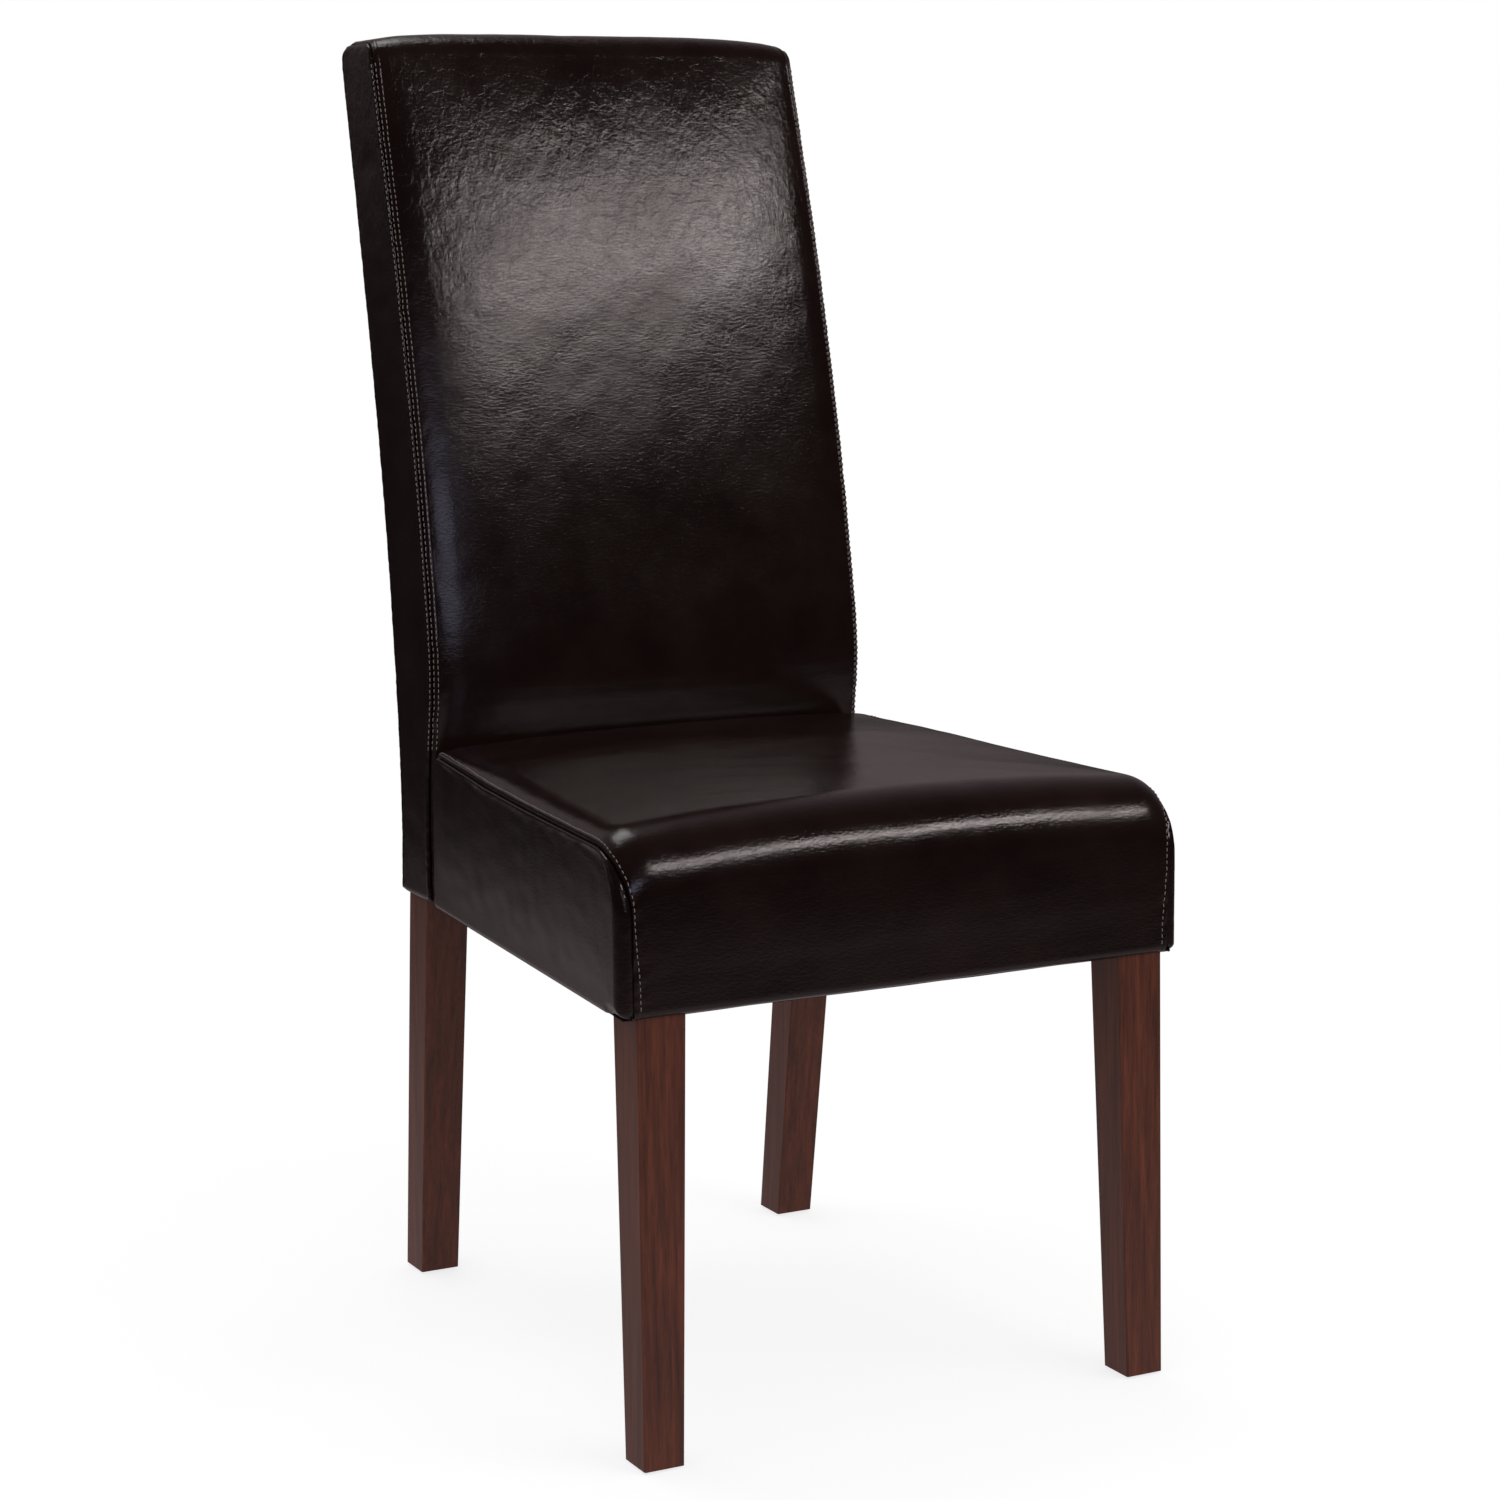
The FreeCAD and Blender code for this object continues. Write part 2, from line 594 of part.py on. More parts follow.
blocks = {}
for side, sign in SIDES:
    blocks["front_" + side] = polygon_block(f"front_{side}_block_blank", mirrored(sign, [
        (LEG_INNER, FRONT_RAIL_REAR), (BLOCK_X, FRONT_RAIL_REAR),
        (half_seat(FRONT_BLOCK_END, RAIL_INSET), FRONT_BLOCK_END),
        (half_seat(LEG_REAR, RAIL_INSET), LEG_REAR), (LEG_INNER, LEG_REAR)]), (BLOCK_BOTTOM, BLOCK_TOP))
    blocks["rear_" + side] = polygon_block(f"rear_{side}_block_blank", mirrored(sign, [
        (half_seat(REAR_RAIL_FRONT, RAIL_INSET), REAR_RAIL_FRONT), (REAR_BLOCK_X, REAR_RAIL_FRONT),
        (half_seat(REAR_BLOCK_END, RAIL_INSET), REAR_BLOCK_END)]), (BLOCK_BOTTOM, BLOCK_TOP))

# Back frame
mounting_rail = box("mounting_rail_blank", (f"-({POST_OUTER})", POST_OUTER),
                    (from_front("seat_depth + leather_thickness"), from_front(POST_FRONT)), LEVELS)


def back_rail(name, low, high):
    """A rail between the back posts, flush with their fronts."""
    between_posts = rail_zone.common(back_core(size(POST_REACH)))
    return solid_feature(name, between_posts.common(between(WIDE, REACH_Y, (low, high))))


TOP_RAIL_LOW = f"({POST_TOP} - top_rail_height)"
MIDDLE_RAIL_TOP = "(middle_rail_level + middle_rail_height)"
doc.recompute()
top_rail = back_rail("top_rail_blank", TOP_RAIL_LOW, POST_TOP)
middle_rail = back_rail("middle_rail_blank", "middle_rail_level", MIDDLE_RAIL_TOP)


def line_at(line, height):
    """The y coordinate of a curve up the back at a height."""
    arc = Part.Arc(*line).toShape()
    level = size(height)
    cutter = Part.LineSegment(Vector(0, -4000, level), Vector(0, 4000, level)).toShape()
    return cutter.distToShape(arc)[1][0][0].y


# Fasteners

def screw(name, start, direction, through):
    """A pan head wood screw from under its head: through one piece and into the next."""
    way = Vector(*direction).normalize()
    shank = rod(name + "_shank", "screw_diameter", f"({through}) + screw_bite", start, direction)
    back = [f"({place}) - ({step}) * screw_head_height" for place, step in zip(start, way)]
    head = rod(name + "_head", "screw_head", "screw_head_height", back, direction)
    return join(name, [head, shank])


def across(sign, text):
    """An x coordinate on one side."""
    return f"-({text})" if sign == "-1" else f"({text})"


def toward(sign, amount):
    """A fixed x direction, outwards on one side for a positive amount."""
    return -amount if sign == "-1" else amount


block_screws, block_counterbores = [], []


def block_screw(name, across_side, distance, direction):
    """A screw through a corner block into a rail, sunk in a counterbore."""
    start = (across_side, from_front(distance), BOLT_LEVEL)
    block_screws.append(screw(name, start, direction, "block_screw_grip"))
    outward = tuple(-step for step in direction)
    block_counterbores.append(rod(name + "_counterbore", "screw_head", "block_reach / 2", start, outward))


for side, sign in SIDES:
    x = across(sign, f"({BLOCK_X} + block_screw_inset)")
    block_screw(f"front_{side}_block_screw_a", x, f"{FRONT_RAIL_REAR} + block_screw_grip", (0, -1, 0))
    distance = f"({FRONT_BLOCK_END} - block_screw_inset)"
    x = across(sign, f"{half_seat(distance, RAIL_INSET)} - block_screw_grip")
    block_screw(f"front_{side}_block_screw_b", x, distance, (toward(sign, 1), 0, 0))
    x = across(sign, f"({REAR_BLOCK_X} + block_screw_inset)")
    block_screw(f"rear_{side}_block_screw_a", x, f"{REAR_RAIL_FRONT} - block_screw_grip", (0, 1, 0))
    distance = f"({REAR_BLOCK_END} + block_screw_inset)"
    x = across(sign, f"{half_seat(distance, RAIL_INSET)} - block_screw_grip")
    block_screw(f"rear_{side}_block_screw_b", x, distance, (toward(sign, 1), 0, 0))
block_screws = group("block_screw_set", block_screws)
block_counterbores = group("block_counterbore_set", block_counterbores)

bolts, bolt_washers, tee_nuts = [], [], []
for index in range(4):
    x = f"({2 * index - 3}) / 3 * ({REAR_BLOCK_X} - bolt_clearance)"
    washer_y = from_front(f"{REAR_RAIL_FRONT} - washer_thickness")
    shank = rod(f"bolt_{index}_shank", "bolt_diameter",
                f"{POST_FRONT} + tee_nut_flange + bolt_diameter / 3 - {REAR_RAIL_FRONT} + washer_thickness",
                (x, washer_y, BOLT_LEVEL), (0, 1, 0))
    head_y = from_front(f"{REAR_RAIL_FRONT} - washer_thickness - bolt_head_height")
    head = rod(f"bolt_{index}_head", "bolt_head_diameter", "bolt_head_height", (x, head_y, BOLT_LEVEL),
               (0, 1, 0))
    bolts.append(join(f"bolt_{index}", [head, shank]))
    disc = rod(f"bolt_{index}_washer", "washer_diameter", "washer_thickness", (x, washer_y, BOLT_LEVEL),
               (0, 1, 0))
    bolt_washers.append(cut(f"bolt_{index}_ring", disc, bolts[-1]))
    flange = rod(f"tee_{index}_flange", "tee_nut_diameter", "tee_nut_flange",
                 (x, from_front(POST_FRONT), BOLT_LEVEL), (0, 1, 0))
    barrel = rod(f"tee_{index}_barrel", "tee_nut_barrel", "tee_nut_depth",
                 (x, from_front(f"{POST_FRONT} - tee_nut_depth"), BOLT_LEVEL), (0, 1, 0))
    tee_nuts.append(cut(f"tee_{index}", join(f"tee_{index}_whole", [barrel, flange]), bolts[-1]))
bolts = group("bolt_set", bolts)
bolt_washers = group("bolt_washer_set", bolt_washers)
tee_nuts = group("tee_nut_set", tee_nuts)

# Hanger bolts run at 45 degrees from the leg's inner corner out through the corner block
BLOCK_DEPTH = f"(({LEG_INNER} - {LEG_REAR} - {BLOCK_X} + {FRONT_RAIL_REAR}) / sqrt(2))"
hangers, hanger_washers, hanger_nuts = [], [], []
for side, sign in SIDES:
    way = (toward(sign, -1), 1, 0)

    def along(travel):
        """A point on the hanger bolt's axis, a distance from the leg's inner corner."""
        step = f"({travel}) / sqrt(2)"
        return across(sign, f"{LEG_INNER} - {step}"), from_front(f"{LEG_REAR} + {step}"), BOLT_LEVEL

    reach = f"{BLOCK_DEPTH} + washer_thickness + nut_height + hanger_diameter / 3"
    bolt = rod(f"hanger_{side}", "hanger_diameter", f"hanger_depth + {reach}", along("-hanger_depth"), way)
    disc = rod(f"hanger_{side}_disc", "washer_diameter", "washer_thickness", along(BLOCK_DEPTH), way)
    nut = doc.addObject("Part::Prism", f"hanger_{side}_hexagon")
    nut.Polygon = 6
    nut.Placement = FreeCAD.Placement(Vector(), FreeCAD.Rotation(Vector(0, 0, 1), Vector(*way)))
    bind(nut, Circumradius="nut_width / 2", Height="nut_height")
    move_to(nut, along(f"{BLOCK_DEPTH} + washer_thickness"))
    hangers.append(bolt)
    hanger_washers.append(cut(f"hanger_{side}_washer", disc, bolt))
    hanger_nuts.append(cut(f"hanger_{side}_nut", nut, bolt))
hangers = group("hanger_set", hangers)
hanger_washers = group("hanger_washer_set", hanger_washers)
hanger_nuts = group("hanger_nut_set", hanger_nuts)

LOW_ROW = f"({FRAME_BOTTOM} + rail_height / 4)"
HIGH_ROW = f"({FRAME_BOTTOM} + rail_height * 3 / 4)"
RAIL_MIDDLE = "(rail_thickness / 2)"
seat_dowels, frame_screws, mounting_screws = [], [], []
for side, sign in SIDES:
    for row, level in (("low", LOW_ROW), ("high", HIGH_ROW)):
        start_x = f"{LEG_INNER} - dowel_length / 2" if sign == "1" else f"-({LEG_INNER}) - dowel_length / 2"
        seat_dowels.append(rod(f"{side}_{row}_front_dowel", "dowel_diameter", "dowel_length",
                               (start_x, from_front(f"{WOOD_FRONT} + {RAIL_MIDDLE}"), level), (1, 0, 0)))
        x = across(sign, half_seat(LEG_REAR, f"{SIDE_INSET} + {RAIL_MIDDLE}"))
        seat_dowels.append(rod(f"{side}_{row}_side_dowel", "dowel_diameter", "dowel_length",
                               (x, from_front(f"{LEG_REAR} - dowel_length / 2"), level), (0, 1, 0)))
        x = across(sign, half_seat(REAR_RAIL_FRONT, f"{SIDE_INSET} + {RAIL_MIDDLE}"))
        frame_screws.append(screw(f"{side}_{row}_frame_screw",
                                  (x, from_front(f"{REAR_RAIL_REAR} - screw_head_height"), level), (0, -1, 0),
                                  "rail_thickness - screw_head_height"))
        x = across(sign, f"{POST_OUTER} - rear_leg_width / 2")
        rail_front = "(seat_depth + leather_thickness + screw_head_height)"
        mounting_screws.append(screw(f"{side}_{row}_mounting_screw", (x, from_front(rail_front), level),
                                     (0, 1, 0), f"{POST_FRONT} - {rail_front}"))
seat_dowels = group("seat_dowel_set", seat_dowels)
frame_screws = group("frame_screw_set", frame_screws)
mounting_screws = group("mounting_screw_set", mounting_screws)

board_screws = []
SINK = f"({BOARD_TOP} - screw_head_height)"
for side, sign in SIDES:
    places = [(across(sign, "seat_rear_width / 4"), f"{WOOD_FRONT} + {RAIL_MIDDLE}"),
              (across(sign, "seat_rear_width / 4"), f"{REAR_RAIL_FRONT} + {RAIL_MIDDLE}")]
    for part_way in ("seat_depth / 3", "seat_depth * 2 / 3"):
        places.append((across(sign, half_seat(part_way, f"{SIDE_INSET} + {RAIL_MIDDLE}")), part_way))
    for index, (x, distance) in enumerate(places):
        board_screws.append(screw(f"{side}_board_screw_{index}", (x, from_front(distance), SINK), (0, 0, -1),
                                  "board_thickness - screw_head_height"))
board_screws = group("board_screw_set", board_screws)

back_dowels = []
for rail, low, high in (("top", TOP_RAIL_LOW, POST_TOP), ("middle", "middle_rail_level", MIDDLE_RAIL_TOP)):
    for row, share in (("low", "0.25"), ("high", "0.75")):
        level = f"({low} + {share} * (({high}) - ({low})))"
        y = line_at(post_front_line, level) + size("back_rail_thickness") / 2
        for side, sign in SIDES:
            x = across(sign, half_back(level, POST_REACH))
            back_dowels.append(rod(f"{rail}_{row}_{side}_dowel", "dowel_diameter", "dowel_length",
                                   (f"{x} - dowel_length / 2", str(y), level), (1, 0, 0)))
back_dowels = group("back_dowel_set", back_dowels)


# Foot glides, each nailed into its foot

def glide(name, x, distance):
    """A round glide under a foot, with its nail."""
    disc = rod(name + "_disc", "glide_diameter", "glide_height", (x, from_front(distance), "0"), (0, 0, 1))
    nail = rod(name + "_nail", "glide_nail", "glide_height + glide_nail_length",
               (x, from_front(distance), "0"), (0, 0, 1))
    return join(name, [disc, nail])


glides = {}
for side, sign in SIDES:
    x = across(sign, f"{LEG_OUTER} + front_foot_spread - front_foot_width / 2")
    glides["front_" + side] = glide(f"front_{side}_glide_whole", x, "front_foot_width / 2 - front_foot_reach")
    x = across(sign, f"{POST_OUTER} - rear_foot_tuck - rear_foot_width / 2")
    glides["rear_" + side] = glide(f"rear_{side}_glide_whole", x,
                                   f"{POST_REAR} + rear_foot_rake - rear_foot_width / 2")
doc.recompute()


# Foam, wadding, webbing and cloth

straps = []
strap_band = behind(rear_line(f"{PAD} + rear_leg_width + webbing_thickness",
                              "post_middle_depth - rear_leg_width", "post_top_depth - rear_leg_width"),
                    POST_TOP)
strap_band = strap_band.cut(behind(post_front_line, "back_height")).common(back_core(size(POST_INSET)))
for low, high, count in ((RAIL_TOP, "middle_rail_level", 3), (MIDDLE_RAIL_TOP, TOP_RAIL_LOW, 2)):
    for index in range(count):
        level = f"({low} + {index + 1} * ({high} - {low}) / {count + 1} - webbing_width / 2)"
        straps.append(strap_band.common(between(WIDE, REACH_Y, (level, f"{level} + webbing_width"))))
webbing = Part.makeCompound(straps)

rear_wadding = back_inner.common(behind(post_rear_line, "2 * back_height"))
below_rail = between(WIDE, REACH_Y, ("0", RAIL_TOP))
frame_zone = behind(post_front_line, POST_TOP).fuse(below_rail)
back_foam = back_inner.cut(frame_zone).cut(rear_wadding).cut(webbing)
beside = back_inner.common(frame_zone).cut(back_core(size(POST_INSET))).cut(rear_wadding)
beside = beside.cut(mounting_rail.Shape)
seat_foam = seat_inner.common(between(WIDE, REACH_Y, (BOARD_TOP, "back_height")))
front_wadding = seat_inner.common(between(WIDE, ("-2 * seat_depth", from_front(WOOD_FRONT)),
                                          ("0", BOARD_TOP)))
side_wadding = {side: along_side(f"{side}_wadding_blank", sign, WOOD_FRONT, REAR_RAIL_REAR,
                                 SIDE_INSET, "leather_thickness", (FRAME_BOTTOM, BOARD_TOP))
                for side, sign in SIDES}
HALF_HEM = "(hem_width / 2)"
dust_cloth = plan_wedge(
    "dust_cloth_blank",
    (HALF_HEM, "-" + half_seat(HALF_HEM, HALF_HEM), half_seat(HALF_HEM, HALF_HEM)),
    (f"seat_depth - {HALF_HEM}", "-" + half_seat(f"seat_depth - {HALF_HEM}", HALF_HEM),
     half_seat(f"seat_depth - {HALF_HEM}", HALF_HEM)),
    ("seat_underside - dust_cloth", "seat_underside"))


# Leather panels

skin = size("leather_thickness")
seat_middle = seat_outer.common(seat_core(skin))
seat_sides = seat_outer.cut(seat_core(skin))
under = prism([Vector(sign * size(half_seat(distance, "hem_width")), size(from_front(distance)), 0)
               for sign, distance in ((-1, "hem_width"), (1, "hem_width"),
                                      (1, "seat_depth - hem_width"), (-1, "seat_depth - hem_width"))],
              Vector(0, 0, size(FRAME_BOTTOM)))
seat_top = seat_middle.cut(seat_inner).cut(under)
back_sides = back_outer.cut(back_core(skin))
back_skin = back_outer.common(back_core(skin)).cut(back_inner)
rear_zone = behind(rear_line("2 * leather_thickness"), "2 * back_height")
back_rear = back_skin.common(rear_zone)
underside = between(WIDE, REACH_Y, ("0", FRAME_BOTTOM))
back_under = back_skin.cut(rear_zone).common(underside)
back_front = back_skin.cut(rear_zone).cut(underside)


# The pieces, each with what is drilled or cut through it

def keep_shape(name, shape, *tools):
    """Names a hand-made shape as a piece, less its tools."""
    return node(name, cut(name, solid_feature(name + "_blank", shape), *tools))


def keep(name, obj, *tools):
    """Names an object as a piece, less its tools."""
    return node(name, cut(name, obj, *tools))


both_front = group("front_leg_pair", list(front_legs.values()))
both_rear = group("rear_leg_pair", list(rear_legs.values()))
for side, sign in SIDES:
    keep(f"front_{side}_leg", front_legs[side], seat_dowels, hangers, glides["front_" + side])
    keep(f"rear_{side}_leg", rear_legs[side], mounting_screws, back_dowels, glides["rear_" + side])
    keep(f"front_{side}_glide", glides["front_" + side])
    keep(f"rear_{side}_glide", glides["rear_" + side])
    keep(f"seat_{side}_rail", side_rails[side], seat_dowels, frame_screws, block_screws, board_screws)
    keep(f"front_{side}_corner_block", blocks["front_" + side], hangers, block_screws, block_counterbores)
    keep(f"rear_{side}_corner_block", blocks["rear_" + side], block_screws, block_counterbores)
    keep(f"seat_{side}_padding", side_wadding[side], both_front)
    keep_shape(f"back_{side}_padding", one_side(beside, sign))
    keep_shape(f"seat_{side}_cover", one_side(seat_sides, sign))
    keep_shape(f"back_{side}_cover", one_side(back_sides, sign))
keep("seat_front_rail", front_rail, seat_dowels, block_screws, board_screws)
keep("seat_rear_rail", rear_rail, bolts, frame_screws, block_screws, board_screws)
keep("seat_board", seat_board, group("breather_set", breathers), board_screws)
keep("back_mounting_rail", mounting_rail, bolts, tee_nuts, mounting_screws)
keep("back_top_rail", top_rail, back_dowels)
keep("back_middle_rail", middle_rail, back_dowels)
keep_shape("back_webbing", webbing)
keep_shape("seat_foam", seat_foam)
keep_shape("seat_front_padding", front_wadding)
keep_shape("back_foam", back_foam)
keep_shape("back_rear_padding", rear_wadding)
keep("seat_dust_cover", dust_cloth, both_front)
keep_shape("seat_top_cover", seat_top, bolts, both_front)
keep_shape("back_front_cover", back_front, bolts)
keep_shape("back_rear_cover", back_rear)
keep_shape("back_bottom_cover", back_under, both_rear)
keep("seat_bolts", bolts)
keep("seat_bolt_washers", bolt_washers)
keep("back_tee_nuts", tee_nuts)
keep("front_leg_hanger_bolts", hangers)
keep("front_leg_washers", hanger_washers)
keep("front_leg_nuts", hanger_nuts)
keep("corner_block_screws", block_screws)
keep("seat_frame_screws", frame_screws)
keep("seat_board_screws", board_screws)
keep("mounting_rail_screws", mounting_screws)
keep("seat_rail_dowels", seat_dowels)
keep("back_rail_dowels", back_dowels)
doc.recompute()

for obj in doc.Objects:
    if "Invalid" in obj.State or "Error" in obj.State:
        raise RuntimeError(f"{obj.Name} did not build: {obj.State}")
for name, obj in nodes.items():
    if obj.Shape.isNull() or not obj.Shape.isValid() or not obj.Shape.Solids:
        raise RuntimeError(f"{name} has no valid solid")

os.makedirs("parts", exist_ok=True)
for name, obj in nodes.items():
    Part.Compound(obj.Shape.Solids).exportStep(f"parts/{name}.step")
    box_of = obj.Shape.BoundBox
    print(f"{name:28s} {len(obj.Shape.Solids):2d} solids {obj.Shape.Volume / 1000:9.1f} cm3 "
          f"z {box_of.ZMin:7.1f} {box_of.ZMax:7.1f}")
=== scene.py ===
import json
import logging
import math
from dataclasses import dataclass, field
from enum import Enum
from typing import Any, Callable, Sequence

import bpy
import numpy as np
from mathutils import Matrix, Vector


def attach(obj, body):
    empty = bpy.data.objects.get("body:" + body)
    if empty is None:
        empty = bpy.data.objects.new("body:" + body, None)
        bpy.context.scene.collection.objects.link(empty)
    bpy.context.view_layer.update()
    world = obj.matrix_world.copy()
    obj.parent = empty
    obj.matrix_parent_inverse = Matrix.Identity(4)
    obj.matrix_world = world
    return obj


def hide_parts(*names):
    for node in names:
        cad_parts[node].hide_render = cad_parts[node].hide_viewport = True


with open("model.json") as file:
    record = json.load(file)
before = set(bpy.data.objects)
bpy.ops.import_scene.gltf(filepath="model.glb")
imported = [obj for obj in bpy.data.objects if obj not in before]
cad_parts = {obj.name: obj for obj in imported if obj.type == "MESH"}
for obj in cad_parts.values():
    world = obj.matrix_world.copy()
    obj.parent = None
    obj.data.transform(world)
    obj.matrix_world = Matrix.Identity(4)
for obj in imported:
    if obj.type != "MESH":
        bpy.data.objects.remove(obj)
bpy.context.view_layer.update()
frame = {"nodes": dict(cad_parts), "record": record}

LOG = logging.getLogger("parsons_chair")
MM = 0.001


class Side(Enum):
    """Left or right half of the chair, as the sign of its x."""

    LEFT = -1
    RIGHT = 1

    @property
    def word(self) -> str:
        """The side's name in piece names."""
        return self.name.lower()


# Colours and nodes

def linear_rgba(code: str) -> tuple[float, float, float, float]:
    """Turn an sRGB hex colour to linear.

    Args:
        code: Colour such as "#2a1c18".

    Returns:
        Linear red, green, blue and an alpha of 1.
    """
    channels = [int(code[at:at + 2], 16) / 255 for at in (1, 3, 5)]
    linear = [c / 12.92 if c <= 0.04045 else ((c + 0.055) / 1.055) ** 2.4 for c in channels]
    return linear[0], linear[1], linear[2], 1.0


def add_node(tree: bpy.types.NodeTree, kind: str, settings: dict[str, Any] | None = None,
             inputs: dict[str, Any] | None = None) -> bpy.types.Node:
    """Add a shader node with its settings, and its inputs as values or links.

    Args:
        tree: Node tree of the material.
        kind: Node type.
        settings: Properties of the node.
        inputs: Value or output socket for each input, by name or index.

    Returns:
        The new node.
    """
    node = tree.nodes.new(kind)
    for name, value in (settings or {}).items():
        setattr(node, name, value)
    for name, value in (inputs or {}).items():
        socket = node.inputs[name]
        if isinstance(value, bpy.types.NodeSocket):
            tree.links.new(value, socket)
        else:
            socket.default_value = value
    return node


def new_material(name: str) -> tuple[bpy.types.Material, bpy.types.NodeTree, bpy.types.Node]:
    """Start a material with a principled shader.

    Args:
        name: Name of the material.

    Returns:
        The material, its node tree and its shader node.
    """
    material = bpy.data.materials.new(name)
    material.use_nodes = True
    tree = material.node_tree
    return material, tree, tree.nodes["Principled BSDF"]


def ramp_between(tree: bpy.types.NodeTree, factor: bpy.types.NodeSocket,
                 stops: Sequence[tuple[float, str]]) -> bpy.types.NodeSocket:
    """Colour ramp over a factor.

    Args:
        tree: Node tree of the material.
        factor: Socket that drives the ramp.
        stops: Position and sRGB hex colour of each stop.

    Returns:
        The ramp's colour socket.
    """
    node = add_node(tree, "ShaderNodeValToRGB", inputs={"Fac": factor})
    elements = node.color_ramp.elements
    while len(elements) < len(stops):
        elements.new(0.5)
    for element, (position, code) in zip(elements, stops):
        element.position = position
        element.color = linear_rgba(code)
    return node.outputs["Color"]


# Finishes

@dataclass(frozen=True)
class BondedLeather:
    """Pigmented, embossed bonded leather: nearly black brown, a soft broad shine broken by a fine grain."""

    base: str = "#140a09"
    worn: str = "#1c100e"
    roughness: float = 0.17
    grain_mm: float = 1.9
    streak_mm: float = 4.6
    pucker_mm: float = 7.0
    crease_mm: float = 21.0
    mottle_mm: float = 60.0
    sway_mm: float = 9.0
    sway_reach_mm: float = 14.0
    grain_depth_mm: float = 0.34
    pucker_depth_mm: float = 0.9
    crease_depth_mm: float = 0.08
    bend_zone: tuple[float, float] = (0.74, 0.90)

    def build(self, name: str = "bonded_leather") -> bpy.types.Material:
        """Make the leather material.

        Args:
            name: Name of the material.

        Returns:
            The material.
        """
        material, tree, shader = new_material(name)
        place = add_node(tree, "ShaderNodeTexCoord").outputs["Object"]
        # Cloudy wear of the pigment, in patches a few centimetres wide: it tints the colour and the shine
        mottle = add_node(tree, "ShaderNodeTexNoise", inputs={
            "Vector": place, "Scale": 1 / (self.mottle_mm * MM), "Detail": 5.0, "Roughness": 0.6})
        colour = ramp_between(tree, mottle.outputs["Fac"], ((0.35, self.base), (0.75, self.worn)))
        tree.links.new(colour, shader.inputs["Base Color"])
        # Embossed grain: small rounded cells, drawn out sideways, and a little coarser than real so that
        # they show
        cell, streak = 1 / (self.grain_mm * MM), 1 / (self.streak_mm * MM)
        drawn = add_node(tree, "ShaderNodeVectorMath", {"operation": "MULTIPLY"},
                         {0: place, 1: (streak, cell, cell)})
        grain = add_node(tree, "ShaderNodeTexNoise", inputs={
            "Vector": drawn.outputs[0], "Scale": 1.0, "Detail": 4.0, "Roughness": 0.6, "Distortion": 0.5})
        # Upright puckers, twice as tall as they are wide, where the leather is drawn over the top
        wide, tall = 1 / (self.pucker_mm * MM), 1 / (2 * self.pucker_mm * MM)
        upright = add_node(tree, "ShaderNodeVectorMath", {"operation": "MULTIPLY"},
                           {0: place, 1: (wide, wide, tall)})
        puckers = add_node(tree, "ShaderNodeTexNoise", inputs={
            "Vector": upright.outputs[0], "Scale": 1.0, "Detail": 4.0, "Roughness": 0.6, "Distortion": 0.6})
        # Thin crease lines: the borders of irregular cells, bent out of true by a finer noise
        sway = add_node(tree, "ShaderNodeTexNoise", inputs={
            "Vector": place, "Scale": 1 / (self.sway_mm * MM), "Detail": 4.0})
        swayed = add_node(tree, "ShaderNodeVectorMath", {"operation": "MULTIPLY_ADD"},
                          {0: sway.outputs["Color"], 1: (self.sway_reach_mm * MM,) * 3, 2: place})
        net = add_node(tree, "ShaderNodeTexVoronoi", {"feature": "DISTANCE_TO_EDGE"},
                       {"Vector": swayed.outputs[0], "Scale": 1 / (self.crease_mm * MM)})
        line = add_node(tree, "ShaderNodeMapRange", {"interpolation_type": "SMOOTHSTEP"},
                        {"Value": net.outputs["Distance"], "From Max": 0.05})
        # Creases and puckers are strong only in the bend zone, near the top of the back
        level = add_node(tree, "ShaderNodeSeparateXYZ", inputs={"Vector": place})
        high = add_node(tree, "ShaderNodeMapRange", {"interpolation_type": "SMOOTHSTEP"}, {
            "Value": level.outputs["Z"], "From Min": self.bend_zone[0], "From Max": self.bend_zone[1],
            "To Min": 0.04, "To Max": 0.60})
        # Three bumps, one over the other: creases, puckers and grain
        bump_creases = add_node(tree, "ShaderNodeBump", inputs={
            "Strength": high.outputs["Result"], "Distance": self.crease_depth_mm * MM,
            "Height": line.outputs["Result"]})
        bump_puckers = add_node(tree, "ShaderNodeBump", inputs={
            "Strength": high.outputs["Result"], "Distance": self.pucker_depth_mm * MM,
            "Height": puckers.outputs["Fac"], "Normal": bump_creases.outputs["Normal"]})
        bump_grain = add_node(tree, "ShaderNodeBump", inputs={
            "Strength": 0.5, "Distance": self.grain_depth_mm * MM, "Height": grain.outputs["Fac"],
            "Normal": bump_puckers.outputs["Normal"]})
        tree.links.new(bump_grain.outputs["Normal"], shader.inputs["Normal"])
        rough = add_node(tree, "ShaderNodeMapRange", inputs={
            "Value": mottle.outputs["Fac"], "From Min": 0.3, "From Max": 0.7,
            "To Min": self.roughness - 0.04, "To Max": self.roughness + 0.05})
        tree.links.new(rough.outputs["Result"], shader.inputs["Roughness"])
        shader.inputs["IOR"].default_value = 1.5
        return material


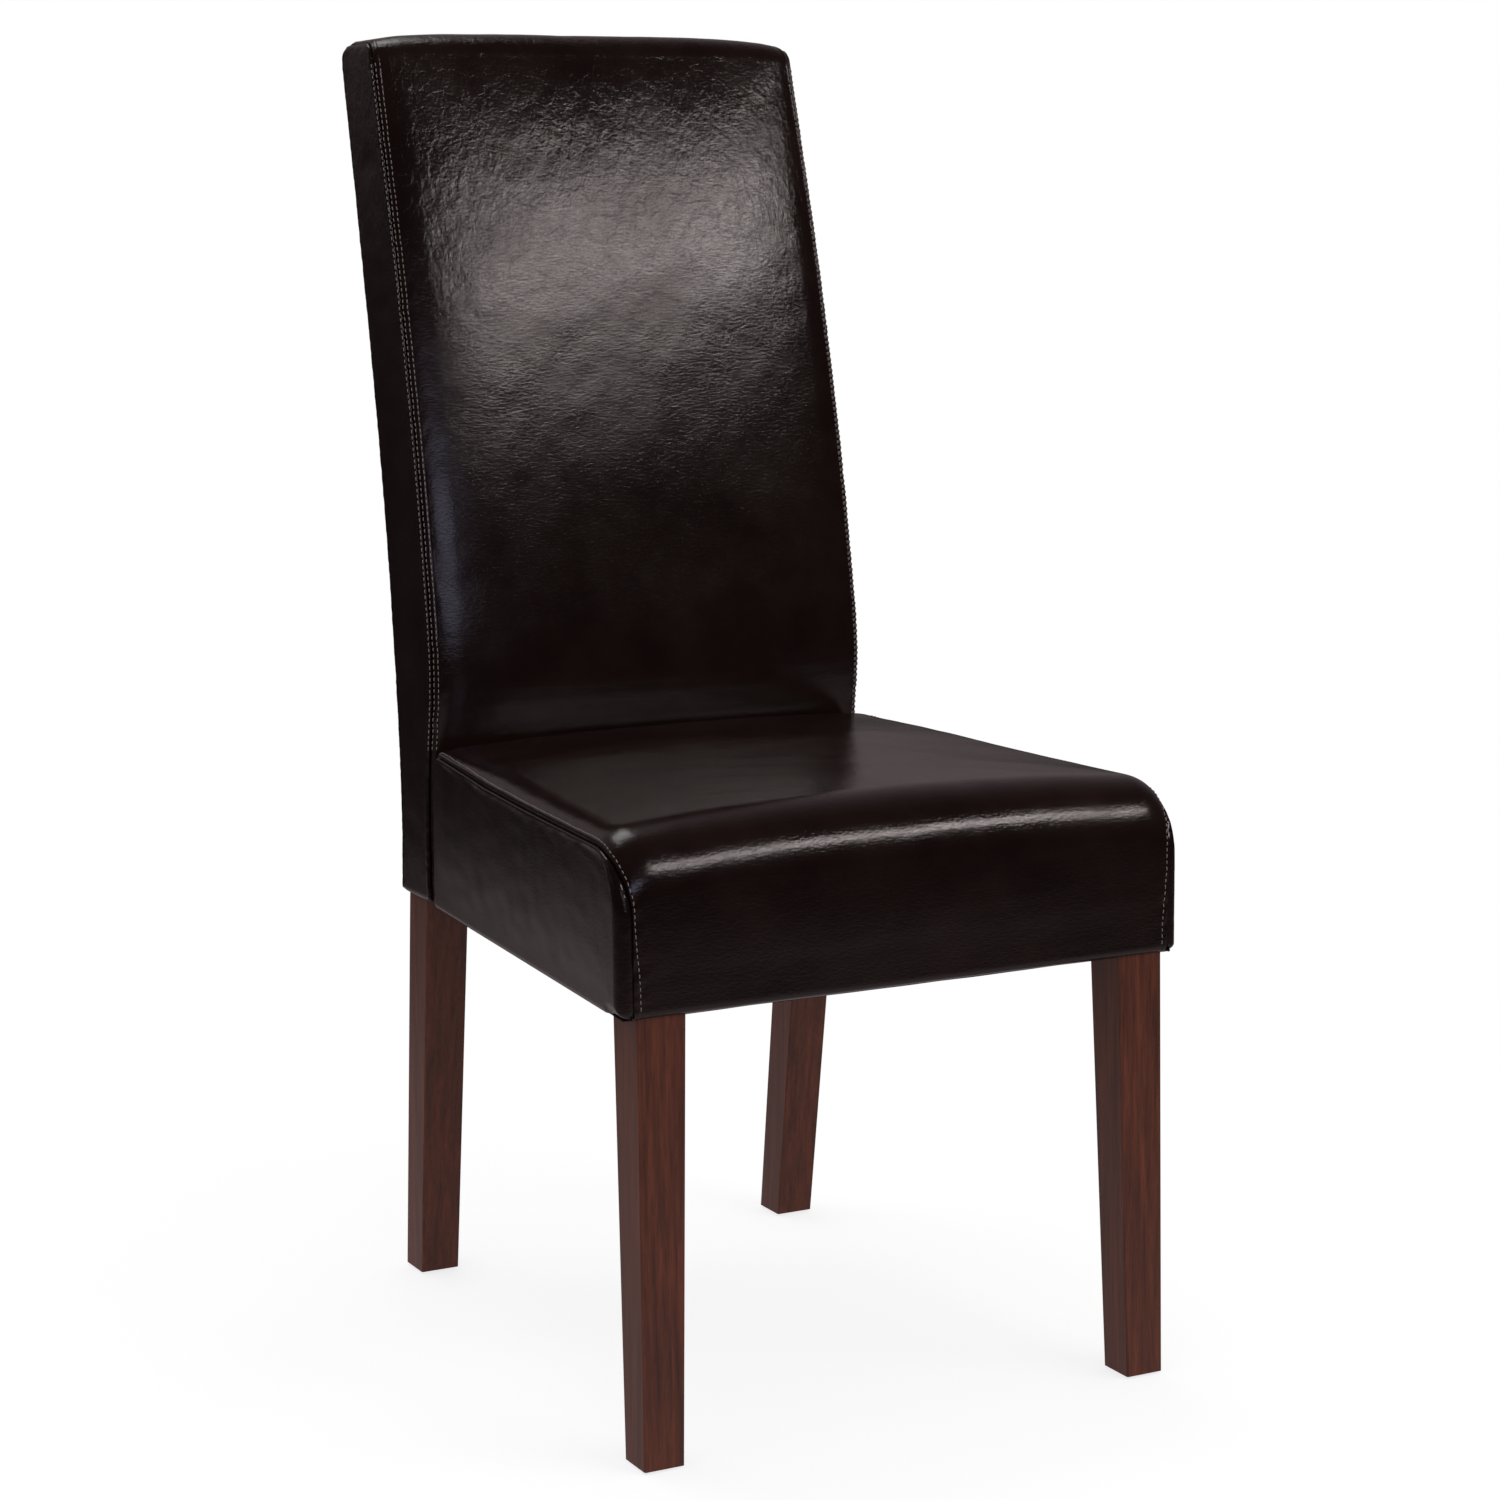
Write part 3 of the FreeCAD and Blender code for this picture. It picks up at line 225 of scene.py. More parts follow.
@dataclass(frozen=True)
class SewingThread:
    """Waxed polyester thread: a twisted taupe strand, lighter than the leather it crosses."""

    colour: str = "#837872"
    twist_mm: float = 0.7

    def build(self, name: str = "sewing_thread") -> bpy.types.Material:
        """Make the thread material.

        Args:
            name: Name of the material.

        Returns:
            The material.
        """
        material, tree, shader = new_material(name)
        place = add_node(tree, "ShaderNodeTexCoord").outputs["Object"]
        # Twisted plies of the thread: slanting bands one twist apart, drawn as a shallow bump
        twist = add_node(tree, "ShaderNodeTexWave", {"bands_direction": "DIAGONAL"},
                         {"Vector": place, "Scale": 1 / (self.twist_mm * MM) / 3, "Distortion": 1.0})
        bump = add_node(tree, "ShaderNodeBump", inputs={
            "Strength": 0.5, "Distance": 0.1 * MM, "Height": twist.outputs["Fac"]})
        tree.links.new(bump.outputs["Normal"], shader.inputs["Normal"])
        shader.inputs["Base Color"].default_value = linear_rgba(self.colour)
        shader.inputs["Roughness"].default_value = 0.55
        return material


@dataclass(frozen=True)
class StainedWood:
    """Straight-grained hardwood under dark red-brown stain and satin lacquer: fine pores run up the leg."""

    light: str = "#763a24"
    middle: str = "#602f1d"
    dark: str = "#452114"
    roughness: float = 0.42
    grain_width_mm: float = 5.0
    pore_width_mm: float = 0.8
    grain_length_mm: float = 160.0

    def build(self, name: str = "stained_wood") -> bpy.types.Material:
        """Make the stained wood material.

        Args:
            name: Name of the material.

        Returns:
            The material.
        """
        material, tree, shader = new_material(name)
        place = add_node(tree, "ShaderNodeTexCoord").outputs["Object"]
        # Growth lines that run up the leg
        across, along = 1 / (self.grain_width_mm * MM), 1 / (self.grain_length_mm * MM)
        stretched = add_node(tree, "ShaderNodeVectorMath", {"operation": "MULTIPLY"},
                             {0: place, 1: (across, across, along)})
        grain = add_node(tree, "ShaderNodeTexNoise", inputs={
            "Vector": stretched.outputs[0], "Scale": 1.0, "Detail": 6.0, "Roughness": 0.6, "Distortion": 0.4})
        colour = ramp_between(tree, grain.outputs["Fac"],
                              ((0.30, self.dark), (0.52, self.middle), (0.75, self.light)))
        # Pores: short dark lines, drawn wider than real so that they show
        fine = 1 / (self.pore_width_mm * MM)
        pore_place = add_node(tree, "ShaderNodeVectorMath", {"operation": "MULTIPLY"},
                              {0: place, 1: (fine, fine, along * 6)})
        pores = add_node(tree, "ShaderNodeTexNoise", inputs={
            "Vector": pore_place.outputs[0], "Scale": 1.0, "Detail": 2.0})
        pore_dark = add_node(tree, "ShaderNodeMapRange", inputs={
            "Value": pores.outputs["Fac"], "From Min": 0.35, "From Max": 0.5, "To Min": 0.72, "To Max": 1.0})
        toned = add_node(tree, "ShaderNodeMix", {"data_type": "RGBA", "blend_type": "MULTIPLY"},
                         {"Factor": 1.0, 6: colour, 7: pore_dark.outputs["Result"]})
        tree.links.new(toned.outputs[2], shader.inputs["Base Color"])
        # Lacquer that sinks a little into the pores
        bump = add_node(tree, "ShaderNodeBump", inputs={
            "Strength": 0.25, "Distance": 0.15 * MM, "Height": pores.outputs["Fac"]})
        tree.links.new(bump.outputs["Normal"], shader.inputs["Normal"])
        shader.inputs["Roughness"].default_value = self.roughness
        shader.inputs["IOR"].default_value = 1.5
        shader.inputs["Coat Weight"].default_value = 0.15
        shader.inputs["Coat Roughness"].default_value = 0.22
        return material


@dataclass(frozen=True)
class BareWood:
    """Unfinished pale timber of the hidden frame: dry, matt, with brown growth lines."""

    light: str = "#d9b98a"
    dark: str = "#b08a5c"
    line_mm: float = 4.0
    length_mm: float = 60.0

    def build(self, name: str) -> bpy.types.Material:
        """Make a bare wood material.

        Args:
            name: Name of the material.

        Returns:
            The material.
        """
        material, tree, shader = new_material(name)
        place = add_node(tree, "ShaderNodeTexCoord").outputs["Object"]
        # Growth lines, drawn out sideways as in a rail
        line, length = 1 / (self.line_mm * MM), 1 / (self.length_mm * MM)
        stretched = add_node(tree, "ShaderNodeVectorMath", {"operation": "MULTIPLY"},
                             {0: place, 1: (length, line, line)})
        grain = add_node(tree, "ShaderNodeTexNoise", inputs={
            "Vector": stretched.outputs[0], "Scale": 1.0, "Detail": 4.0})
        tree.links.new(ramp_between(tree, grain.outputs["Fac"], ((0.3, self.dark), (0.7, self.light))),
                       shader.inputs["Base Color"])
        shader.inputs["Roughness"].default_value = 0.75
        return material


@dataclass(frozen=True)
class WovenCloth:
    """Plain woven or bonded cloth: matt, with a fine cross grid of threads."""

    colour: str
    thread_mm: float = 1.4
    roughness: float = 0.9

    def build(self, name: str) -> bpy.types.Material:
        """Make a cloth material.

        Args:
            name: Name of the material.

        Returns:
            The material.
        """
        material, tree, shader = new_material(name)
        place = add_node(tree, "ShaderNodeTexCoord").outputs["Object"]
        # Cross grid of threads, drawn coarser than real so that it shows
        heights = []
        for direction in ("X", "Y"):
            wave = add_node(tree, "ShaderNodeTexWave", {"bands_direction": direction},
                            {"Vector": place, "Scale": 1 / (self.thread_mm * MM) / 3, "Distortion": 0.4})
            heights.append(wave.outputs["Fac"])
        weave = add_node(tree, "ShaderNodeMath", {"operation": "MULTIPLY"}, {0: heights[0], 1: heights[1]})
        bump = add_node(tree, "ShaderNodeBump", inputs={
            "Strength": 0.6, "Distance": 0.3 * MM, "Height": weave.outputs[0]})
        tree.links.new(bump.outputs["Normal"], shader.inputs["Normal"])
        shader.inputs["Base Color"].default_value = linear_rgba(self.colour)
        shader.inputs["Roughness"].default_value = self.roughness
        return material


@dataclass(frozen=True)
class HardMaterial:
    """Zinc-plated steel or nylon: one even colour with a faint cloudy roughness."""

    colour: str
    metallic: float
    roughness: float
    cloud_mm: float = 8.0

    def build(self, name: str) -> bpy.types.Material:
        """Make a metal or plastic material.

        Args:
            name: Name of the material.

        Returns:
            The material.
        """
        material, tree, shader = new_material(name)
        place = add_node(tree, "ShaderNodeTexCoord").outputs["Object"]
        # Faint clouds of handling and plating that vary the shine
        cloud = add_node(tree, "ShaderNodeTexNoise", inputs={
            "Vector": place, "Scale": 1 / (self.cloud_mm * MM), "Detail": 4.0})
        rough = add_node(tree, "ShaderNodeMapRange", inputs={
            "Value": cloud.outputs["Fac"], "To Min": self.roughness - 0.08, "To Max": self.roughness + 0.08})
        tree.links.new(rough.outputs["Result"], shader.inputs["Roughness"])
        shader.inputs["Base Color"].default_value = linear_rgba(self.colour)
        shader.inputs["Metallic"].default_value = self.metallic
        return material


# Curves and grids

def smooth_step(value: np.ndarray, low: float, high: float) -> np.ndarray:
    """Rise from 0 at low to 1 at high without corners."""
    t = np.clip((value - low) / (high - low), 0.0, 1.0)
    return t * t * (3 - 2 * t)


def graded(length: float, fine: float, coarse: float, band: float) -> np.ndarray:
    """Distances from one seam to another, close together near both ends.

    Args:
        length: Whole width.
        fine: Spacing at the seams.
        coarse: Spacing in the middle.
        band: Width of the fine strip at each seam.

    Returns:
        Rising distances from 0 to length.
    """
    half = [0.0]
    while half[-1] < length / 2:
        grow = smooth_step(np.array(half[-1]), band, band + 8 * coarse)
        half.append(half[-1] + fine + (coarse - fine) * float(grow))
    steps = np.array(half) * (length / 2 / half[-1])
    return np.concatenate([steps, length - steps[-2::-1]])


def ripple(points: np.ndarray, wavelength: float, seed: int, waves: int = 14) -> np.ndarray:
    """Smooth irregular waves through space.

    Args:
        points: Array of points, last axis x, y, z.
        wavelength: Typical wavelength in metres.
        seed: Seed of the random directions.
        waves: How many waves are added up.

    Returns:
        Heights of about -1 to 1, one per point.
    """
    rng = np.random.default_rng(seed)
    total = np.zeros(points.shape[:-1])
    for _ in range(waves):
        direction = rng.normal(size=3)
        direction /= np.linalg.norm(direction)
        turns = 2 * math.pi / (wavelength * rng.uniform(0.6, 1.7))
        total += np.sin(points @ direction * turns + rng.uniform(0, 2 * math.pi))
    return total / math.sqrt(waves)


def grid_normals(points: np.ndarray) -> np.ndarray:
    """Unit normals of a grid of points.

    Args:
        points: Array of rows, columns and x, y, z.

    Returns:
        Array of the same shape.
    """
    normals = np.cross(np.gradient(points, axis=1), np.gradient(points, axis=0))
    return normals / np.maximum(np.linalg.norm(normals, axis=-1, keepdims=True), 1e-12)


def spline_weights(fine: np.ndarray, count: int) -> np.ndarray:
    """Weights that read a smooth cubic spline over evenly spaced values.

    Args:
        fine: Places from 0 to 1 where the spline is read.
        count: How many values the spline is drawn over.

    Returns:
        Matrix of one row per place and one column per value.
    """
    at = np.clip(fine, 0, 1) * (count - 1)
    base = np.minimum(at.astype(int), count - 2)
    t = at - base
    basis = ((1 - t) ** 3 / 6, (3 * t ** 3 - 6 * t ** 2 + 4) / 6,
             (-3 * t ** 3 + 3 * t ** 2 + 3 * t + 1) / 6, t ** 3 / 6)
    weights = np.zeros((len(fine), count))
    for offset, part in zip((-1, 0, 1, 2), basis):
        np.add.at(weights, (np.arange(len(fine)), np.clip(base + offset, 0, count - 1)), part)
    return weights


def grid_mesh(name: str, points: np.ndarray) -> bpy.types.Mesh:
    """Make a smooth quad mesh from a grid of points.

    Args:
        name: Name of the mesh.
        points: Array of rows, columns and x, y, z.

    Returns:
        The mesh.
    """
    rows, columns = points.shape[:2]
    index = np.arange(rows * columns).reshape(rows, columns)
    faces = np.stack([index[:-1, :-1], index[:-1, 1:], index[1:, 1:], index[1:, :-1]], -1).reshape(-1, 4)
    mesh = bpy.data.meshes.new(name)
    mesh.from_pydata(points.reshape(-1, 3).tolist(), [], faces.tolist())
    mesh.shade_smooth()
    return mesh


def link_object(name: str, mesh: bpy.types.Mesh, material: bpy.types.Material) -> bpy.types.Object:
    """Put a mesh in the scene with its material.

    Args:
        name: Name of the object.
        mesh: Its mesh.
        material: Its only material.

    Returns:
        The new object.
    """
    piece = bpy.data.objects.new(name, mesh)
    bpy.context.scene.collection.objects.link(piece)
    mesh.materials.append(material)
    return piece


@dataclass
class InflatedPanel:
    """Cloth run that swells a leather panel between its sewn edges."""

    spacing: float = 9 * MM
    pressure: float = 2.2
    spare: float = 0.004
    stiffness: float = 12.0
    bending: float = 1.2
    frames: int = 18
    cap: float = 1.5 * MM

    def run(self, name: str, surface: Callable[[np.ndarray, np.ndarray], np.ndarray],
            width: float, height: float, sign: float) -> np.ndarray:
        """Swell the panel and give how far each point of an even grid moved.

        Args:
            name: Name used for the passing object.
            surface: Gives the panel's points for places across and along, each 0 to 1.
            width: Rough width of the panel.
            height: Rough height of the panel.
            sign: 1 where the grid faces outwards, -1 where it faces inwards.

        Returns:
            Movements, an array of rows, columns and x, y, z.
        """
        columns, rows = int(width / self.spacing) + 1, int(height / self.spacing) + 1
        start = surface(np.linspace(0, 1, columns), np.linspace(0, 1, rows))
        mesh = grid_mesh(name + "_cloth", start)
        cloth = bpy.data.objects.new(name + "_cloth", mesh)
        bpy.context.scene.collection.objects.link(cloth)
        border = np.zeros((rows, columns), bool)
        border[[0, -1], :] = True
        border[:, [0, -1]] = True
        pins = cloth.vertex_groups.new(name="sewn")
        pins.add(np.flatnonzero(border).tolist(), 1.0, "REPLACE")
        modifier = cloth.modifiers.new("cloth", "CLOTH")
        settings = modifier.settings
        settings.vertex_group_mass = "sewn"
        settings.quality = 6
        settings.mass = 0.3
        settings.tension_stiffness = self.stiffness
        settings.compression_stiffness = self.stiffness
        settings.shear_stiffness = self.stiffness / 2
        settings.bending_stiffness = self.bending
        settings.shrink_min = -self.spare
        settings.use_pressure = True
        settings.uniform_pressure_force = self.pressure * sign
        settings.effector_weights.gravity = 0.0
        modifier.point_cache.frame_start = 1
        modifier.point_cache.frame_end = self.frames
        scene = bpy.context.scene
        for number in range(1, self.frames + 1):
            scene.frame_set(number)
        graph = bpy.context.evaluated_depsgraph_get()
        swollen = cloth.evaluated_get(graph).to_mesh()
        moved = np.zeros(rows * columns * 3, np.float32)
        swollen.vertices.foreach_get("co", moved)
        cloth.evaluated_get(graph).to_mesh_clear()
        bpy.data.objects.remove(cloth)
        scene.frame_set(1)
        shift = moved.reshape(rows, columns, 3).astype(float) - start
        reach = float(np.linalg.norm(shift, axis=-1).max())
        return shift * min(1.0, self.cap / max(reach, 1e-9))


# Outlines and panels

def fair_curve(stations: Sequence[tuple[float, float]]) -> Callable[[np.ndarray], np.ndarray]:
    """Natural cubic spline through stations, as value over place.

    Args:
        stations: Rising places with their values.

    Returns:
        Function that gives the value at each place.
    """
    at = np.array([s[0] for s in stations])
    value = np.array([s[1] for s in stations])
    gap, count = np.diff(at), len(at)
    system, rest = np.eye(count), np.zeros(count)
    for i in range(1, count - 1):
        system[i, i - 1:i + 2] = gap[i - 1], 2 * (gap[i - 1] + gap[i]), gap[i]
        rest[i] = 6 * ((value[i + 1] - value[i]) / gap[i] - (value[i] - value[i - 1]) / gap[i - 1])
    bend = np.linalg.solve(system, rest)

    def read(place: np.ndarray) -> np.ndarray:
        """Read the spline.

        Args:
            place: Places between the first and the last station.

        Returns:
            Value at each place.
        """
        i = np.clip(np.searchsorted(at, place) - 1, 0, count - 2)
        before, after = place - at[i], at[i + 1] - place
        return (bend[i] * after ** 3 + bend[i + 1] * before ** 3) / (6 * gap[i]) \
            + (value[i] / gap[i] - bend[i] * gap[i] / 6) * after \
            + (value[i + 1] / gap[i] - bend[i + 1] * gap[i] / 6) * before

    return read


class Outline:
    """Side outline of a padded form: a path in y and z that can be read by its arc length."""

    def __init__(self, corners: Sequence[tuple[float, float, float]], step: float = 0.5) -> None:
        """Round the corners of a path.

        Args:
            corners: Points (y, z, radius) in millimetres; a radius of 0 keeps the point.
            step: Spacing of the finished path in millimetres.
        """
        place = [np.array(c[:2], float) for c in corners]
        path = [place[0]]
        for before, here, after, corner in zip(place, place[1:], place[2:], corners[1:]):
            if corner[2] == 0:
                path.append(here)
                continue
            inward, outward = before - here, after - here
            inward, outward = inward / np.linalg.norm(inward), outward / np.linalg.norm(outward)
            half = math.acos(float(np.clip(inward @ outward, -1, 1))) / 2
            reach = corner[2] / math.tan(half)
            handle = 4 / 3 * math.tan((math.pi / 2 - half) / 2) * corner[2]
            a, d = here + inward * reach, here + outward * reach
            b, c = a - inward * handle, d - outward * handle
            for t in np.linspace(0, 1, 25):
                path.append((1 - t) ** 3 * a + 3 * t * (1 - t) ** 2 * b
                            + 3 * t * t * (1 - t) * c + t ** 3 * d)
        path.append(place[-1])
        raw = np.array(path) * MM
        length = np.concatenate([[0], np.cumsum(np.linalg.norm(np.diff(raw, axis=0), axis=1))])
        keep = np.concatenate([[True], np.diff(length) > 1e-9])
        raw, length = raw[keep], length[keep]
        self.at = np.linspace(0, length[-1], int(length[-1] / (step * MM)) + 2)
        self.points = np.stack([np.interp(self.at, length, raw[:, k]) for k in (0, 1)], -1)
        along = np.gradient(self.points, self.at, axis=0)
        along /= np.linalg.norm(along, axis=1, keepdims=True)
        self.normals = np.stack([-along[:, 1], along[:, 0]], -1)
        self.length = float(length[-1])

    def read(self, where: np.ndarray) -> tuple[np.ndarray, np.ndarray]:
        """Read the path.

        Args:
            where: Distances along the path.

        Returns:
            Points and outward unit normals at those distances.
        """
        point = np.stack([np.interp(where, self.at, self.points[:, k]) for k in (0, 1)], -1)
        normal = np.stack([np.interp(where, self.at, self.normals[:, k]) for k in (0, 1)], -1)
        return point, normal / np.linalg.norm(normal, axis=-1, keepdims=True)

    def nearest(self, y: float, z: float) -> float:
        """Distance along the path of its point nearest to a place in millimetres."""
        gap = np.linalg.norm(self.points - np.array([y, z]) * MM, axis=1)
        return float(self.at[int(gap.argmin())])


def round_edge(distance: np.ndarray, radius: np.ndarray | float) -> np.ndarray:
    """How far a rounded edge falls away near its end: the radius at distance 0, nothing beyond the radius.

    Args:
        distance: Distance of each point from the end.
        radius: Radius of the edge, the same everywhere or one per point.

    Returns:
        How far each point falls away.
    """
    radius = np.maximum(radius, 1e-6)
    t = np.clip(1 - distance / radius, 0, 1)
    return radius * (1 - np.sqrt(np.maximum(1 - t * t, 0)))


def soft_roll(distance: np.ndarray, width: float) -> np.ndarray:
    """Quarter ellipse that rises from 0 at a seam to 1 at a distance from it."""
    t = np.clip(1 - distance / width, 0, 1)
    return np.sqrt(np.maximum(1 - t * t, 0))


@dataclass
class SeamRelief:
    """Shape of sewn leather across a seam: a ditch, a raised allowance and dimpled stitch rows."""

    ditch: float = 0.9 * MM
    ridge: float = 0.45 * MM
    ridge_width: float = 3.2 * MM
    rows: tuple[float, ...] = (2.5 * MM,)
    dimple: float = 0.35 * MM
    pucker: float = 0.22 * MM
    pitch: float = 4.7 * MM

    def height(self, distance: np.ndarray, along: np.ndarray, points: np.ndarray, seed: int) -> np.ndarray:
        """Height over the plain panel.

        Args:
            distance: Distance from the seam at each point.
            along: Distance along the seam at each point.
            points: The points themselves, for irregular puckers.
            seed: Seed of the puckers.

        Returns:
            Height at each point, negative inwards.
        """
        # Raised allowance beside the seam, dimpled stitch rows on it and small irregular puckers
        total = self.ridge * np.exp(-((distance - self.ridge_width) / (2.2 * MM)) ** 2)
        for row in self.rows:
            beside = np.exp(-((distance - row) / (0.75 * MM)) ** 2)
            holes = 0.5 - 0.5 * np.cos(2 * math.pi * along / self.pitch)
            total -= self.dimple * beside * (0.45 + 0.55 * (1 - holes))
        fade = np.exp(-distance / (6 * MM)) * smooth_step(distance, 0.0, 1.5 * MM)
        total += self.pucker * fade * ripple(points, 9 * MM, seed)
        return total


@dataclass
class LeatherPanel:
    """One sewn leather panel: a shaped grid that is swollen, creased and sewn at its edges.

    still is the length at the low edge that doesn't swell, and rear_return the width of leather that turns
    in behind the right edge. sign, points and normals are worked out by shape.
    """

    name: str
    surface: Callable[[np.ndarray, np.ndarray], np.ndarray]
    inward: Callable[[np.ndarray], np.ndarray]
    across: np.ndarray
    along: np.ndarray
    seams: dict[str, SeamRelief]
    replaces: tuple[str, ...]
    fill: float = 0.8
    swell: InflatedPanel | None = None
    wrinkle: float = 0.35 * MM
    seed: int = 1
    thickness: float = 1.2 * MM
    allowance: float = 5 * MM
    rear_return: float = 0.0
    still: float = 0.0
    sign: float = 1.0
    points: np.ndarray = field(default_factory=lambda: np.zeros((2, 2, 3)))
    normals: np.ndarray = field(default_factory=lambda: np.zeros((2, 2, 3)))

    @staticmethod
    def rim(points: np.ndarray, edge: str) -> np.ndarray:
        """Points of the "left", "right", "low" or "high" edge of a grid."""
        return {"left": points[:, 0], "right": points[:, -1], "low": points[0], "high": points[-1]}[edge]

    def edge_distance(self, edge: str) -> tuple[np.ndarray, np.ndarray]:
        """Measure over the surface from an edge.

        Args:
            edge: Name of the edge.

        Returns:
            Distance of each point from the edge, and its distance along the edge.
        """
        down = edge in ("low", "high")
        axis = 0 if down else 1
        steps = np.linalg.norm(np.diff(self.points, axis=axis), axis=-1)
        first = np.zeros_like(steps[:1] if down else steps[:, :1])
        from_start = np.concatenate([first, np.cumsum(steps, axis=axis)], axis=axis)
        total = from_start[-1:] if down else from_start[:, -1:]
        distance = from_start if edge in ("low", "left") else total - from_start
        rim = self.rim(self.points, edge)
        run = np.concatenate([[0], np.cumsum(np.linalg.norm(np.diff(rim, axis=0), axis=1))])
        return distance, np.broadcast_to(run[None, :] if down else run[:, None], distance.shape)

    def shape(self) -> None:
        """Work out the panel's points: form, swelling, creases and seams."""
        points = self.surface(self.across, self.along)
        size_across = float(np.linalg.norm(np.diff(points, axis=1), axis=-1).sum(1).max())
        size_along = float(np.linalg.norm(np.diff(points, axis=0), axis=-1).sum(0).max())
        middle = Vector(points.reshape(-1, 3).mean(0))
        flat = grid_normals(points)
        outward = points - np.array(middle) + 0.6 * (points.mean((0, 1)) - np.array([0, 0.03, 0.5]))
        self.sign = 1.0 if float((flat * outward).sum()) > 0 else -1.0
        if self.swell is not None:
            shift = self.swell.run(self.name, self.surface, size_across, size_along, self.sign)
            rows, columns = shift.shape[:2]
            run = np.linspace(0, size_along, rows)
            shift = shift * smooth_step(run, self.still, self.still + 40 * MM)[:, None, None]
            points = points + np.einsum("ai,bj,ijk->abk", spline_weights(self.along, rows),
                                        spline_weights(self.across, columns), shift)
        self.points = points
        self.normals = grid_normals(points) * self.sign
        broad, narrow = ripple(points, 55 * MM, self.seed), ripple(points, 24 * MM, self.seed + 7)
        height = self.wrinkle * (0.6 * broad + 0.4 * narrow)
        rim = np.minimum.reduce([self.edge_distance(e)[0] for e in ("left", "right", "low", "high")])
        height = height * smooth_step(rim, 4 * MM, 30 * MM)
        sunk = np.zeros_like(points)
        # Each sewn edge gets its relief and sinks into the ditch of its seam
        for edge, relief in self.seams.items():
            distance, run = self.edge_distance(edge)
            height = height + relief.height(distance, run, points, self.seed + 3)
            way = self.inward(self.rim(points, edge))
            way = way[None] if edge in ("low", "high") else way[:, None]
            sunk += way * (relief.ditch * np.exp(-(distance / (0.7 * MM)) ** 2))[..., None]
        self.points = points + self.normals * height[..., None] + sunk
        self.normals = grid_normals(self.points) * self.sign

    def turned_in(self) -> np.ndarray:
        """Fold in the seam allowances at the sewn edges.

        Returns:
            The panel's points with the folds, an array of rows, columns and x, y, z.
        """
        points = self.points
        for edge in self.seams:
            rim = self.rim(points, edge)
            fold = rim + self.inward(rim) * self.allowance
            fold = fold[None] if edge in ("low", "high") else fold[:, None]
            parts = (fold, points) if edge in ("left", "low") else (points, fold)
            points = np.concatenate(parts, axis=0 if edge in ("low", "high") else 1)
        if self.rear_return > 0:
            rim = self.rim(points, "right")
            fold = rim - np.array([1.0, 0.0, 0.0]) * np.sign(rim[:, :1]) * self.rear_return
            points = np.concatenate((points, fold[:, None]), axis=1)
        return points

    def build(self, material: bpy.types.Material) -> bpy.types.Object:
        """Make the panel as a closed sheet of leather and hide the CAD pieces it stands for.

        Args:
            material: Leather material.

        Returns:
            The panel's object.
        """
        self.shape()
        folded = self.turned_in()
        rows, columns = folded.shape[:2]
        outer = folded.reshape(-1, 3)
        inner = (folded - grid_normals(folded) * self.sign * self.thickness).reshape(-1, 3)
        index = np.arange(rows * columns).reshape(rows, columns)
        quads = np.stack([index[:-1, :-1], index[:-1, 1:], index[1:, 1:], index[1:, :-1]], -1).reshape(-1, 4)
        if self.sign < 0:
            quads = quads[:, ::-1]
        rim = np.concatenate([index[0, :], index[1:, -1], index[-1, -2::-1], index[-2:0:-1, 0]])
        following, count = np.roll(rim, -1), rows * columns
        wall = np.stack([rim, rim + count, following + count, following], -1)
        if self.sign < 0:
            wall = wall[:, ::-1]
        faces = np.concatenate([quads, quads[:, ::-1] + count, wall])
        mesh = bpy.data.meshes.new(self.name)
        mesh.from_pydata(np.concatenate([outer, inner]).tolist(), [], faces.tolist())
        mesh.shade_smooth()
        piece = link_object(self.name, mesh, material)
        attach(piece, "root")
        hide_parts(*self.replaces)
        LOG.info("%s: %d points", self.name, len(mesh.vertices))
        return piece

    def line_at(self, edge: str, inset: float) -> tuple[np.ndarray, np.ndarray]:
        """Draw a line beside an edge, over the surface.

        Args:
            edge: Name of the edge.
            inset: Distance of the line from it.

        Returns:
            Points and normals of the line.
        """
        distance, _ = self.edge_distance(edge)
        points, normals = self.points, self.normals
        if edge in ("low", "high"):
            distance, points, normals = distance.T, points.transpose(1, 0, 2), normals.transpose(1, 0, 2)
        if edge in ("right", "high"):
            distance, points, normals = distance[:, ::-1], points[:, ::-1], normals[:, ::-1]
        line, face = [], []
        for away, point, normal in zip(distance, points, normals):
            line.append([np.interp(inset, away, point[:, k]) for k in range(3)])
            face.append([np.interp(inset, away, normal[:, k]) for k in range(3)])
        return np.array(line), np.array(face)


